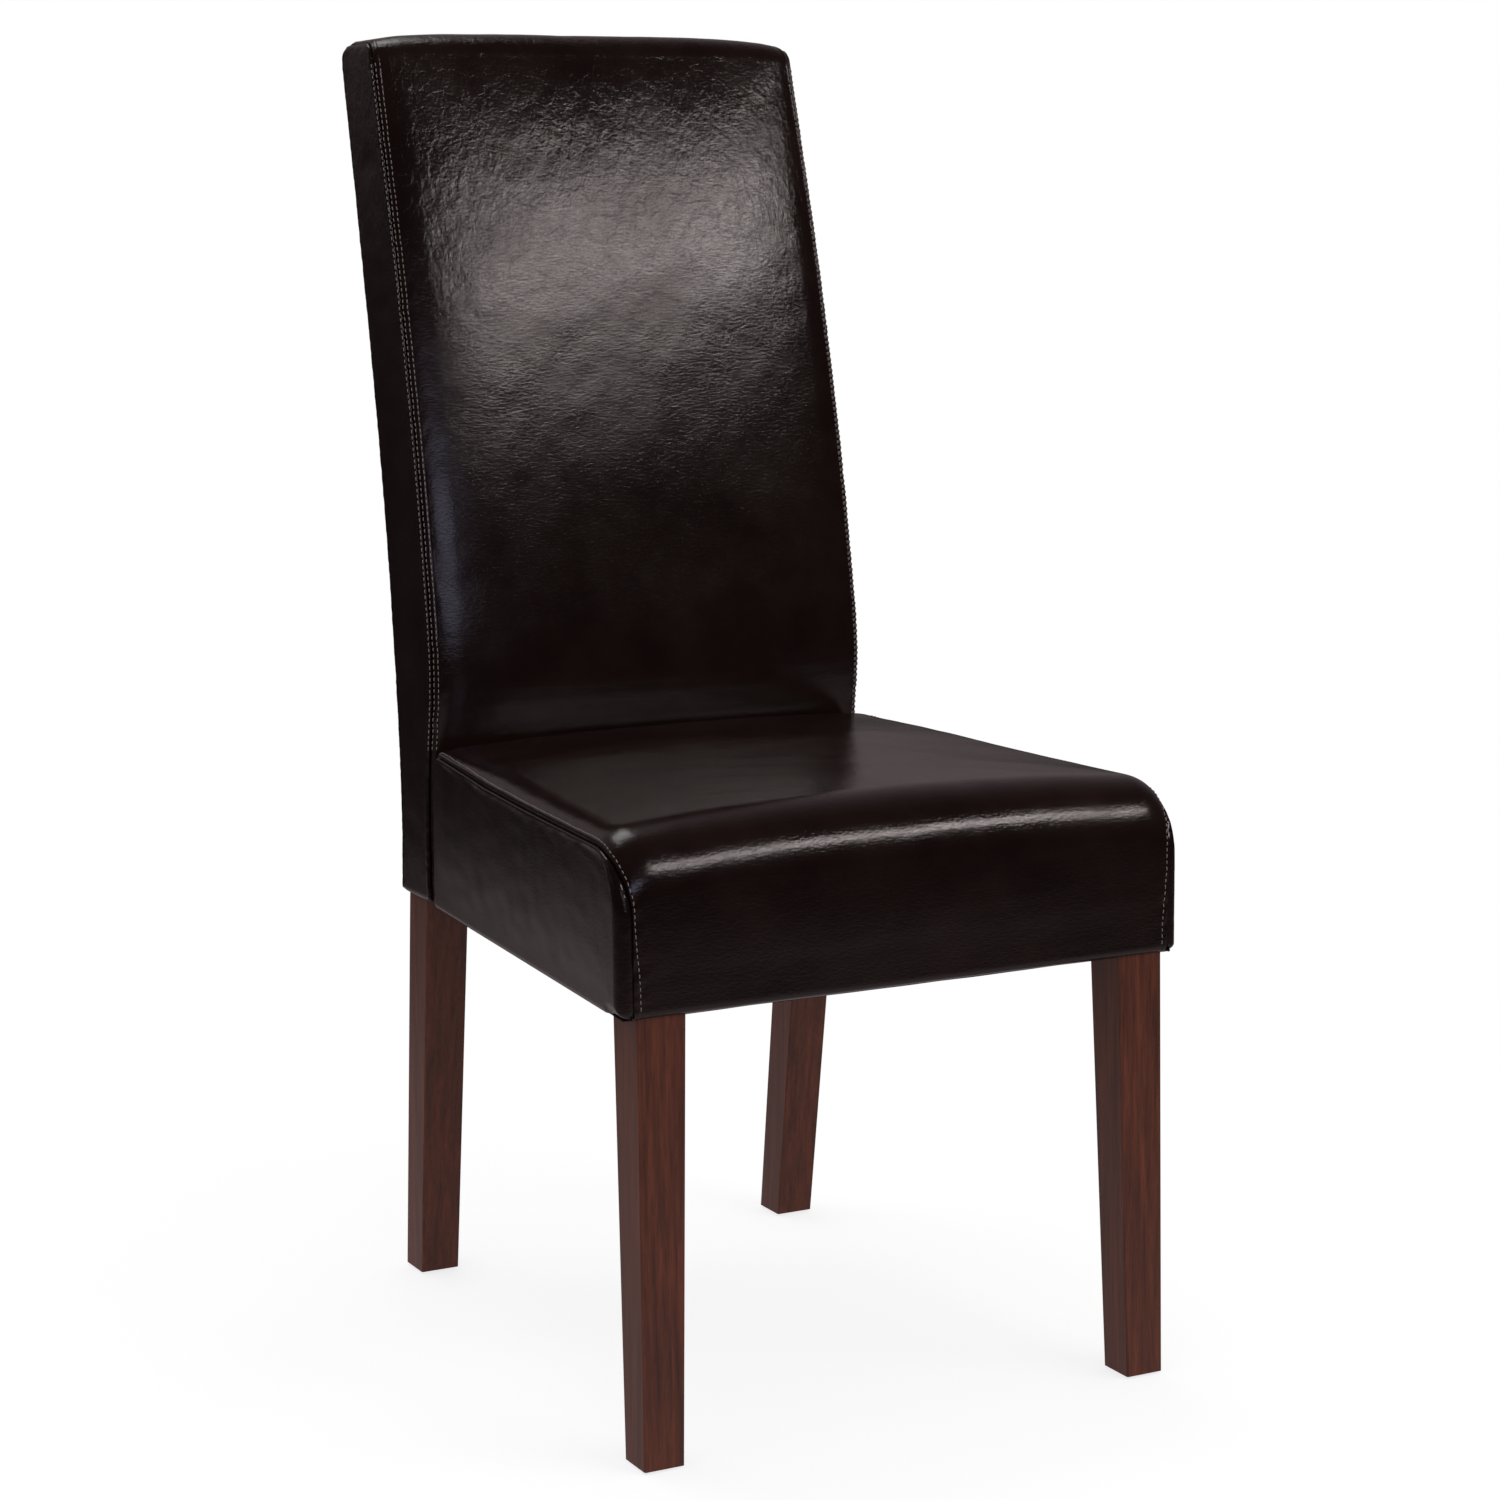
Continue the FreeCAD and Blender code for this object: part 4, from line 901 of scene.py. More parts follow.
@dataclass
class StitchRow:
    """Row of thread strands, each one dipping into its needle holes."""

    pitch: float = 4.7 * MM
    strand: float = 3.5 * MM
    radius: float = 0.38 * MM
    sides: int = 6
    rings: int = 6
    seed: int = 5

    def mesh_data(self, line: np.ndarray, normals: np.ndarray, start: float,
                  stop: float) -> tuple[list[list[float]], list[list[int]]]:
        """Points and faces of the strands along a line.

        Args:
            line: Points of the line.
            normals: Outward normals along it.
            start: Distance along the line of the first strand.
            stop: Distance along the line where the row ends.

        Returns:
            Points and faces.
        """
        rng = np.random.default_rng(self.seed)
        run = np.concatenate([[0], np.cumsum(np.linalg.norm(np.diff(line, axis=0), axis=1))])
        points: list[list[float]] = []
        faces: list[list[int]] = []
        for middle in np.arange(start, min(stop, run[-1] - self.pitch), self.pitch):
            reach = self.strand / 2 * rng.uniform(0.9, 1.06)
            slant = rng.normal(0, 0.10 * MM)
            travel = np.linspace(-1, 1, self.rings)
            centre = np.stack([np.interp(middle + travel * reach, run, line[:, k]) for k in range(3)], -1)
            face = np.array([np.interp(middle, run, normals[:, k]) for k in range(3)])
            face /= np.linalg.norm(face)
            ahead = centre[-1] - centre[0]
            ahead /= np.linalg.norm(ahead)
            beside = np.cross(face, ahead)
            lift = self.radius * 0.75 - (self.radius * 2.0) * np.abs(travel) ** 4
            centre = centre + face * lift[:, None] + beside * (travel * slant)[:, None]
            first = len(points)
            for spot, place in zip(travel, centre):
                thick = self.radius * (1 - 0.45 * abs(spot) ** 3)
                for corner in range(self.sides):
                    turn = 2 * math.pi * corner / self.sides
                    spoke = math.cos(turn) * face + math.sin(turn) * beside
                    points.append((place + thick * spoke).tolist())
            for ring in range(self.rings - 1):
                for corner in range(self.sides):
                    a = first + ring * self.sides + corner
                    b = first + ring * self.sides + (corner + 1) % self.sides
                    faces.append([a, b, b + self.sides, a + self.sides])
            last = first + (self.rings - 1) * self.sides
            faces.append([first + c for c in reversed(range(self.sides))])
            faces.append([last + c for c in range(self.sides)])
        return points, faces


def thread_piece(name: str, rows: Sequence[tuple[np.ndarray, np.ndarray, float, float]], stitch: StitchRow,
                 material: bpy.types.Material) -> bpy.types.Object:
    """Join rows of strands into one piece.

    Args:
        name: Name of the piece.
        rows: Line, normals, start and stop of each row.
        stitch: Size of the strands.
        material: Thread material.

    Returns:
        The piece.
    """
    points: list[list[float]] = []
    faces: list[list[int]] = []
    for line, normals, start, stop in rows:
        more, panels = stitch.mesh_data(line, normals, start, stop)
        faces.extend([[corner + len(points) for corner in face] for face in panels])
        points.extend(more)
    mesh = bpy.data.meshes.new(name)
    mesh.from_pydata(points, [], faces)
    mesh.shade_smooth()
    piece = link_object(name, mesh, material)
    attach(piece, "root")
    LOG.info("%s: %d strands", name, len(points) // (stitch.sides * stitch.rings))
    return piece


def distance_to_path(places: np.ndarray, path: np.ndarray) -> tuple[np.ndarray, np.ndarray]:
    """Distance of flat places from a path, and where along it the nearest point is.

    Args:
        places: Array whose last axis is y, z.
        path: Points y, z of the path.

    Returns:
        Distances and positions counted in path points.
    """
    best = np.full(places.shape[:-1], 1e9)
    where = np.zeros(places.shape[:-1])
    for number, (start, end) in enumerate(zip(path, path[1:])):
        way = end - start
        share = np.clip(((places - start) @ way) / (way @ way), 0, 1)
        gap = np.linalg.norm(places - start - share[..., None] * way, axis=-1)
        nearer = gap < best
        best = np.where(nearer, gap, best)
        where = np.where(nearer, number + share, where)
    return best, where


def patch(low: np.ndarray, high: np.ndarray, left: np.ndarray, right: np.ndarray, across: np.ndarray,
          along: np.ndarray) -> np.ndarray:
    """Fill the inside of four joined edges smoothly.

    Args:
        low: Points of the lower edge at each place across.
        high: Points of the upper edge at each place across.
        left: Points of the left edge at each place along.
        right: Points of the right edge at each place along.
        across: Places across, 0 to 1.
        along: Places along, 0 to 1.

    Returns:
        Array of rows, columns and coordinates.
    """
    a, b = across[None, :, None], along[:, None, None]
    ruled = (1 - b) * low[None] + b * high[None] + (1 - a) * left[:, None] + a * right[:, None]
    corners = ((1 - a) * (1 - b) * left[0] + a * (1 - b) * right[0]
               + (1 - a) * b * left[-1] + a * b * right[-1])
    return ruled - corners


@dataclass
class PaddedBody:
    """What the seat and the back share: where they stand, and how their side panels are made."""

    front_y: float = -292.6
    gap: float = 0.25

    outline: Outline = field(init=False)

    def inward(self, points: np.ndarray) -> np.ndarray:
        """Find the way into a seam: half way between the side and the face it joins.

        Args:
            points: Points of the seam.

        Returns:
            Direction at each point.
        """
        flat = points[:, 1:] - np.array([self.front_y * MM, 0.0])
        _, run = self.near_outline(flat)
        _, normal = self.outline.read(run)
        return -np.column_stack([np.sign(points[:, 0]), normal]) / math.sqrt(2)

    def near_outline(self, flat: np.ndarray) -> tuple[np.ndarray, np.ndarray]:
        """Find the nearest place of the outline, read at every fourth of its points.

        Args:
            flat: Array whose last axis is y, z.

        Returns:
            Distances from the outline, and distances along it of the nearest places.
        """
        coarse = self.outline.points[::4]
        near, where = distance_to_path(flat, coarse)
        return near, np.interp(where, np.arange(len(coarse)), self.outline.at[::4])


@dataclass
class SeatBox(PaddedBody):
    """Leather seat: a top panel that runs down the front, two side panels and a cloth underside."""

    front_half: float = 235.0
    rear_half: float = 197.5
    depth: float = 416.0
    underside: float = 328.0
    rear_drop: float = 2.5
    roll_radius: float = 46.0
    rear_radius: float = 24.0
    hem: float = 20.0
    bottom_round: float = 5.0
    front_wrap: float = 11.0
    top_wrap: float = 1.6
    rear_wrap: float = 10.0
    edge_roll: float = 12.0
    edge_width: float = 21.0
    crown: float = 10.0
    rear_crown: float = 5.0
    front_crown: float = 3.0
    stitch_row: float = 5.5
    stitch_start: float = 3.0
    row_spacing: float = 1.9
    still_hem: float = 28.0
    rear_return: float = 24.0

    def __post_init__(self) -> None:
        """Lay out the seat's side outline."""
        under, back = self.underside, self.depth
        self.outline = Outline([
            (self.hem, under, 0), (-1.0, under, self.bottom_round), (0.0, 380.0, 0),
            (1.5, 445.0, self.roll_radius), (147.0, 444.4, 0), (210.0, 444.6, 0), (283.0, 445.6, 0),
            (350.0, 448.6, 0), (back, 451.0, self.rear_radius), (back, 405.0, 0)])
        self.bottom_at = self.outline.nearest(-0.6, under + self.bottom_round)
        self.corner_at = self.outline.nearest(15.0, 432.0)
        self.rear_at = self.outline.nearest(back - 7.0, 444.0)

    def half(self, y: np.ndarray) -> np.ndarray:
        """Half the seat's width at a distance behind its front, in metres."""
        share = np.clip(y / (self.depth * MM), -0.1, 1.1)
        return (self.front_half + (self.rear_half - self.front_half) * share) * MM

    def wrap(self, where: np.ndarray) -> np.ndarray:
        """How far the side panel reaches round onto the front or the top.

        Args:
            where: Distances along the outline.

        Returns:
            Reach at each of them, in metres.
        """
        point, _ = self.outline.read(where)
        # The reach eases from the front's to the top's round the rolled front edge
        onto_top = smooth_step(point[..., 1] + 0.55 * point[..., 0], 398 * MM, 470 * MM)
        return (self.front_wrap + (self.top_wrap - self.front_wrap) * onto_top) * MM

    def top_surface(self, across: np.ndarray, along: np.ndarray) -> np.ndarray:
        """Lay out the top panel, from under the front edge to behind the crease.

        Args:
            across: Places from left to right, 0 to 1.
            along: Places from the front hem to the rear, 0 to 1.

        Returns:
            Points, an array of rows, columns and x, y, z.
        """
        where = along * self.outline.length
        point, normal = self.outline.read(where)
        half = self.half(point[:, 0]) - self.wrap(where) - self.gap * MM
        x = half[:, None] * (2 * across - 1)[None, :]
        share = np.abs(2 * across - 1)[None, :]
        inboard = half[:, None] - np.abs(x)
        rise = smooth_step(point[:, 1], (self.underside + 6) * MM, (self.underside + 75) * MM)[:, None]
        rise = rise * (where > self.bottom_at / 2)[:, None]
        rear = smooth_step(point[:, 0], 0.62 * self.depth * MM, self.depth * MM)[:, None]
        above_hem = smooth_step(where, 0.4 * self.bottom_at, self.bottom_at)[:, None]
        facing = np.clip(-normal[:, :1], 0, 1) * above_hem
        crown = self.crown + (self.rear_crown - self.crown) * rear
        roll = self.edge_roll * (1 - 0.5 * rear)
        lift = crown * (1 - share ** 2.2) + roll * soft_roll(inboard, self.edge_width * MM)
        ahead = self.front_crown * (1 - share ** 2.2) * facing
        y = point[:, :1] + (self.front_y - ahead) * MM
        return np.stack([x, np.broadcast_to(y, x.shape), point[:, 1:] + rise * lift * MM], -1)

    def side_surface(self, side: Side) -> Callable[[np.ndarray, np.ndarray], np.ndarray]:
        """Lay out one side panel, from its front to its rear and from its bottom to its seam.

        Args:
            side: Side of the seat.

        Returns:
            Surface of the panel.
        """
        def surface(across: np.ndarray, along: np.ndarray) -> np.ndarray:
            """Points of the seat's side panel.

            Args:
                across: Places from front to rear, 0 to 1.
                along: Places from bottom to seam, 0 to 1.

            Returns:
                Points, an array of rows, columns and x, y, z.
            """
            path = self.outline
            back, under, drop = self.depth * MM, self.underside * MM, self.rear_drop * MM
            front, _ = path.read(self.bottom_at + (self.corner_at - self.bottom_at) * along)
            front[0] = path.read(np.array([self.bottom_at]))[0][0]
            top, _ = path.read(self.corner_at + (self.rear_at - self.corner_at) * across)
            base = np.stack([front[0, 0] + (back - front[0, 0]) * across,
                             under + 1 * MM - drop * across], -1)
            rear = np.stack([top[-1, 0] + (back - top[-1, 0]) * (1 - along),
                             base[-1, 1] + (top[-1, 1] - base[-1, 1]) * along], -1)
            base[0], rear[0], rear[-1] = front[0], base[-1], top[-1]
            flat = patch(base, top, front, rear, across, along)
            near, where = self.near_outline(flat)
            bottom = flat[..., 1] - (under - drop * flat[..., 0] / back)
            inset = (round_edge(near, self.wrap(where)) + round_edge(bottom, self.bottom_round * MM)
                     + round_edge(back - flat[..., 0], self.rear_wrap * MM))
            x = side.value * (self.half(flat[..., 0]) - inset)
            return np.stack([x, flat[..., 0] + self.front_y * MM, flat[..., 1]], -1)

        return surface

    def build(self, leather: bpy.types.Material, thread: bpy.types.Material,
              cloth: bpy.types.Material) -> None:
        """Make the seat's panels, stitching and underside.

        Args:
            leather: Material of the panels.
            thread: Material of the stitches.
            cloth: Material of the dust cloth.
        """
        width, length = 2 * self.front_half * MM, self.outline.length
        row = self.stitch_row * MM
        top = LeatherPanel(
            "seat_top_panel", self.top_surface, self.inward,
            graded(width, 0.6 * MM, 5 * MM, 10 * MM) / width,
            np.linspace(0, 1, int(length / (self.row_spacing * MM))),
            {edge: SeamRelief(rows=(row,), pucker=0.35 * MM) for edge in ("left", "right")},
            ("seat_top_cover", "seat_foam", "seat_front_padding"),
            swell=InflatedPanel(pressure=2.4), wrinkle=0.10 * MM, seed=11, still=self.still_hem * MM)
        top.build(leather)
        begin = self.bottom_at + self.stitch_start * MM
        rows = [(*top.line_at(edge, row), begin, self.rear_at) for edge in ("left", "right")]
        thread_piece("seat_top_stitching", rows, StitchRow(), thread)
        for side in Side:
            reach = self.depth * MM
            rise = self.corner_at - self.bottom_at
            panel = LeatherPanel(
                f"seat_{side.word}_panel", self.side_surface(side), self.inward,
                graded(reach, 0.7 * MM, 5 * MM, 13 * MM) / reach,
                graded(rise, 0.6 * MM, 3.5 * MM, 9 * MM) / rise,
                {edge: SeamRelief(rows=(), pucker=0.3 * MM, ridge=0.15 * MM) for edge in ("left", "high")},
                (f"seat_{side.word}_cover", f"seat_{side.word}_padding"),
                swell=InflatedPanel(pressure=1.6, cap=0.9 * MM), wrinkle=0.14 * MM,
                seed=23 + side.value, rear_return=self.rear_return * MM)
            panel.build(leather)
        self.underside_cloth(cloth)

    def underside_cloth(self, cloth: bpy.types.Material) -> None:
        """Make the dust cloth stapled under the seat, sagging a little between its edges.

        Args:
            cloth: Material of the dust cloth.
        """
        edge, sag, thickness = 6 * MM, 0.45 * MM, 0.6 * MM
        across, along = np.linspace(-1, 1, 61), np.linspace(0, 1, 61)
        y = edge + (self.depth * MM - 2 * edge) * along
        half = self.half(y) - edge
        x = half[:, None] * across[None, :]
        bulge = (1 - across[None, :] ** 2) * (4 * along * (1 - along))[:, None]
        deep = np.broadcast_to(y[:, None], x.shape)
        waves = ripple(np.stack([x, deep, 0 * x], -1), 70 * MM, 61)
        z = self.underside * MM - thickness - sag * bulge + 0.25 * MM * waves
        points = np.stack([x, deep + self.front_y * MM, z], -1)
        mesh = grid_mesh("seat_underside_cloth", points)
        piece = link_object("seat_underside_cloth", mesh, cloth)
        thick = piece.modifiers.new("thickness", "SOLIDIFY")
        thick.thickness = thickness
        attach(piece, "root")
        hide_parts("seat_dust_cover")


@dataclass
class BackSlab(PaddedBody):
    """Leather back: a front panel over the top edge, two side panels and a rear panel."""

    base_half: float = 197.0
    top_half: float = 191.2
    underside: float = 328.0
    top: float = 1007.5
    front_stations: tuple[tuple[float, float], ...] = (
        (328, 421.0), (440, 423.0), (465, 420.5), (500, 417.0), (530, 418.5), (580, 426.3), (650, 438.8),
        (740, 458.6), (830, 481.0), (920, 506.8), (1008, 532.5))
    rear_stations: tuple[tuple[float, float], ...] = (
        (328, 478.5), (400, 479.0), (480, 486.2), (560, 496.6), (650, 511.5), (740, 530.0), (830, 550.6),
        (920, 572.5), (1008, 594.5))
    front_round: float = 17.0
    rear_round: float = 16.0
    bottom_round: float = 4.0
    seam_wrap: float = 2.2
    edge_roll: float = 6.0
    edge_width: float = 24.0
    crown: float = 8.5
    top_crown: float = 6.0
    rear_crown: float = 3.0
    rear_roll: float = 2.0
    dome: float = 130.0
    inner_row: float = 2.4
    outer_row: float = 6.0
    stitch_start: float = 125.0
    stitch_stop: float = 12.0
    rear_stitch_start: float = 14.0
    side_reach: float = 62.0
    front_spacing: float = 1.95
    rear_spacing: float = 3.0
    side_spacing: float = 1.9

    def __post_init__(self) -> None:
        """Lay out the back's side outline, up the front, over the top and down the rear."""
        front, rear = fair_curve(self.front_stations), fair_curve(self.rear_stations)
        levels = np.linspace(self.underside, self.top, 60)
        corners = [(float(front(z)), float(z), 0.0) for z in levels[:-2]]
        corners += [(float(front(self.top)), self.top, self.front_round),
                    (float(rear(self.top)) - 0.5, self.top - 2.0, self.rear_round)]
        corners += [(float(rear(z)), float(z), 0.0) for z in levels[-3:0:-1]]
        corners += [(float(rear(self.underside)), self.underside, self.bottom_round),
                    (float(front(self.underside)) + 2.0, self.underside, 0.0)]
        self.outline = Outline(corners)
        self.corner_at = self.outline.nearest(float(front(self.top)) + 3.0, self.top - 3.0)
        self.rear_at = self.outline.nearest(float(rear(self.top)) - 4.0, self.top - 5.0)
        self.foot_at = self.outline.nearest(float(rear(self.underside)), self.underside + self.bottom_round)

    def half(self, z: np.ndarray) -> np.ndarray:
        """Half the back's width, with its top corners rounded.

        Args:
            z: Heights in metres.

        Returns:
            Half width at each height, in metres.
        """
        share = (z / MM - self.underside) / (self.top - self.underside)
        width = self.base_half + (self.top_half - self.base_half) * share
        corner = np.clip((z / MM - (self.top - 9.0)) / 9.0, 0, 1)
        return (width - 3.0 * (1 - np.sqrt(1 - 0.98 * corner ** 2))) * MM

    def cover_surface(self, start: float, stop: float, crown: float,
                      roll: float) -> Callable[[np.ndarray, np.ndarray], np.ndarray]:
        """Points of a panel that spans the back between two places of its outline.

        Args:
            start: Where the panel starts along the outline.
            stop: Where it ends.
            crown: How far its middle stands out, in millimetres.
            roll: How far its edges roll out beside the seams, in millimetres.

        Returns:
            Surface of the panel.
        """
        def surface(across: np.ndarray, along: np.ndarray) -> np.ndarray:
            """Points of the cover panel.

            Args:
                across: Places from left to right, 0 to 1.
                along: Places from start to stop, 0 to 1.

            Returns:
                Points, an array of rows, columns and x, y, z.
            """
            where = start + (stop - start) * along
            point, normal = self.outline.read(where)
            half = self.half(point[:, 1]) - (self.seam_wrap + self.gap) * MM
            x = half[:, None] * (2 * across - 1)[None, :]
            share = np.abs(2 * across - 1)[None, :]
            inboard = half[:, None] - np.abs(x)
            over = np.clip(normal[:, 1:], 0, 1) * smooth_step(point[:, 1:], 0.9, 0.98)
            low = smooth_step(point[:, 1:], self.underside * MM, (self.underside + 30) * MM)
            near_top = np.clip((point[:, 1:] / MM - self.top + self.dome) / self.dome, 0, 1) ** 2.2
            swell = crown * (1 - near_top) + self.top_crown * over
            rolled = roll * (1 - 0.6 * over) * soft_roll(inboard, self.edge_width * MM)
            offset = low * (swell * (1 - share ** 4.5) + rolled) * MM
            y = point[:, :1] + normal[:, :1] * offset + self.front_y * MM
            return np.stack([x, y, point[:, 1:] + normal[:, 1:] * offset], -1)

        return surface

    def side_surface(self, side: Side) -> Callable[[np.ndarray, np.ndarray], np.ndarray]:
        """Lay out one side panel, from front seam to rear seam and from the bottom to the top.

        Args:
            side: Side of the back.

        Returns:
            Surface of the panel.
        """
        def surface(across: np.ndarray, along: np.ndarray) -> np.ndarray:
            """Points of the back's side panel.

            Args:
                across: Places from front to rear, 0 to 1.
                along: Places from bottom to top, 0 to 1.

            Returns:
                Points, an array of rows, columns and x, y, z.
            """
            path = self.outline
            start = path.nearest(self.front_stations[0][1], self.underside + 1.0)
            front, _ = path.read(start + (self.corner_at - start) * along)
            rear, _ = path.read(self.foot_at + (self.rear_at - self.foot_at) * along)
            top, _ = path.read(self.corner_at + (self.rear_at - self.corner_at) * across)
            base = front[0] + (rear[0] - front[0]) * across[:, None]
            base[:, 1] -= self.bottom_round * MM * 0.8 * np.sin(math.pi * across)
            flat = patch(base, top, front, rear, across, along)
            near, _ = self.near_outline(flat)
            inset = round_edge(near, self.seam_wrap * MM)
            inset = inset + round_edge(flat[..., 1] - self.underside * MM, self.bottom_round * MM) * 0.7
            x = side.value * (self.half(flat[..., 1]) - inset)
            return np.stack([x, flat[..., 0] + self.front_y * MM, flat[..., 1]], -1)

        return surface

    def build(self, leather: bpy.types.Material, thread: bpy.types.Material) -> None:
        """Make the back's panels and stitching.

        Args:
            leather: Material of the panels.
            thread: Material of the stitches.
        """
        width = 2 * self.base_half * MM
        across = graded(width, 0.55 * MM, 5 * MM, 10 * MM) / width
        inner, outer = self.inner_row * MM, self.outer_row * MM
        doubled = SeamRelief(rows=(inner, outer), ridge=0.55 * MM, ridge_width=4.2 * MM)
        start = self.outline.nearest(self.front_stations[0][1], self.underside + 1.0)
        length = self.rear_at - start
        front = LeatherPanel(
            "back_front_panel", self.cover_surface(start, self.rear_at, self.crown, self.edge_roll),
            self.inward, across, np.linspace(0, 1, int(length / (self.front_spacing * MM))),
            {"left": doubled, "right": doubled},
            ("back_front_cover", "back_foam"), swell=InflatedPanel(pressure=2.4, cap=1.4 * MM),
            wrinkle=0.12 * MM, seed=41)
        front.build(leather)
        single = SeamRelief(rows=(inner,), ridge=0.3 * MM)
        end = self.outline.length
        rear = LeatherPanel(
            "back_rear_panel", self.cover_surface(self.rear_at, end, self.rear_crown, self.rear_roll),
            self.inward, across, np.linspace(0, 1, int((end - self.rear_at) / (self.rear_spacing * MM))),
            {"left": single, "right": single, "low": SeamRelief(rows=())},
            ("back_rear_cover", "back_rear_padding", "back_bottom_cover"),
            swell=InflatedPanel(pressure=1.2, cap=1.2 * MM), wrinkle=0.18 * MM, seed=47)
        rear.build(leather)
        begin, rise = self.stitch_start * MM, self.corner_at - start
        top_end = rise - self.stitch_stop * MM
        rows = [(*front.line_at(edge, row), begin, top_end) for edge in ("left", "right")
                for row in (inner, outer)]
        rows += [(*rear.line_at(edge, inner), self.rear_stitch_start * MM, end)
                 for edge in ("left", "right")]
        for side in Side:
            reach = self.side_reach * MM
            panel = LeatherPanel(
                f"back_{side.word}_panel", self.side_surface(side), self.inward,
                graded(reach, 0.6 * MM, 3 * MM, 6 * MM) / reach,
                np.linspace(0, 1, int(rise / (self.side_spacing * MM))),
                {"left": single, "right": single, "high": SeamRelief(rows=())},
                (f"back_{side.word}_cover", f"back_{side.word}_padding"),
                swell=InflatedPanel(pressure=1.0, cap=0.6 * MM), wrinkle=0.14 * MM, seed=53 + side.value)
            panel.build(leather)
            rows.append((*panel.line_at("left", inner), begin, top_end))
        thread_piece("back_stitching", rows, StitchRow(), thread)


# The frame's own pieces, lights and camera

class FrameFinishes:
    """Which finish each rigid CAD piece gets."""

    def dress(self, nodes: dict[str, bpy.types.Object], record: dict[str, Any]) -> None:
        """Give every CAD piece its finish.

        Args:
            nodes: CAD objects by name.
            record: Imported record, which names each node's slot.
        """
        finishes = {
            "stained_wood": StainedWood().build(),
            "frame_wood": BareWood().build("sawn_rubberwood"),
            "plywood": BareWood("#d8bd92", "#b8935f", 7.0).build("birch_plywood"),
            "beech": BareWood("#dcb68c", "#c3976a", 3.0).build("beech_dowel"),
            "webbing": WovenCloth("#26262a", 1.6).build("elastic_webbing"),
            "nylon": HardMaterial("#2b2623", 0.0, 0.5).build("moulded_nylon"),
            "steel": HardMaterial("#b9b8b2", 1.0, 0.35).build("zinc_plated_steel"),
            "leather": BondedLeather().build("hidden_leather"),
            "foam": WovenCloth("#d8cfa8", 2.5).build("cut_foam"),
            "wadding": WovenCloth("#d9d9d6", 3.0).build("polyester_wadding"),
            "lining_cloth": WovenCloth("#141416", 1.2).build("spunbonded_cloth")}
        for part in record["subparts"]:
            node = nodes[part["node"]]
            node.data.materials.clear()
            node.data.materials.append(finishes[part["material_slot"]])
            LOG.info("%s: %s", node.name, part["material_slot"])


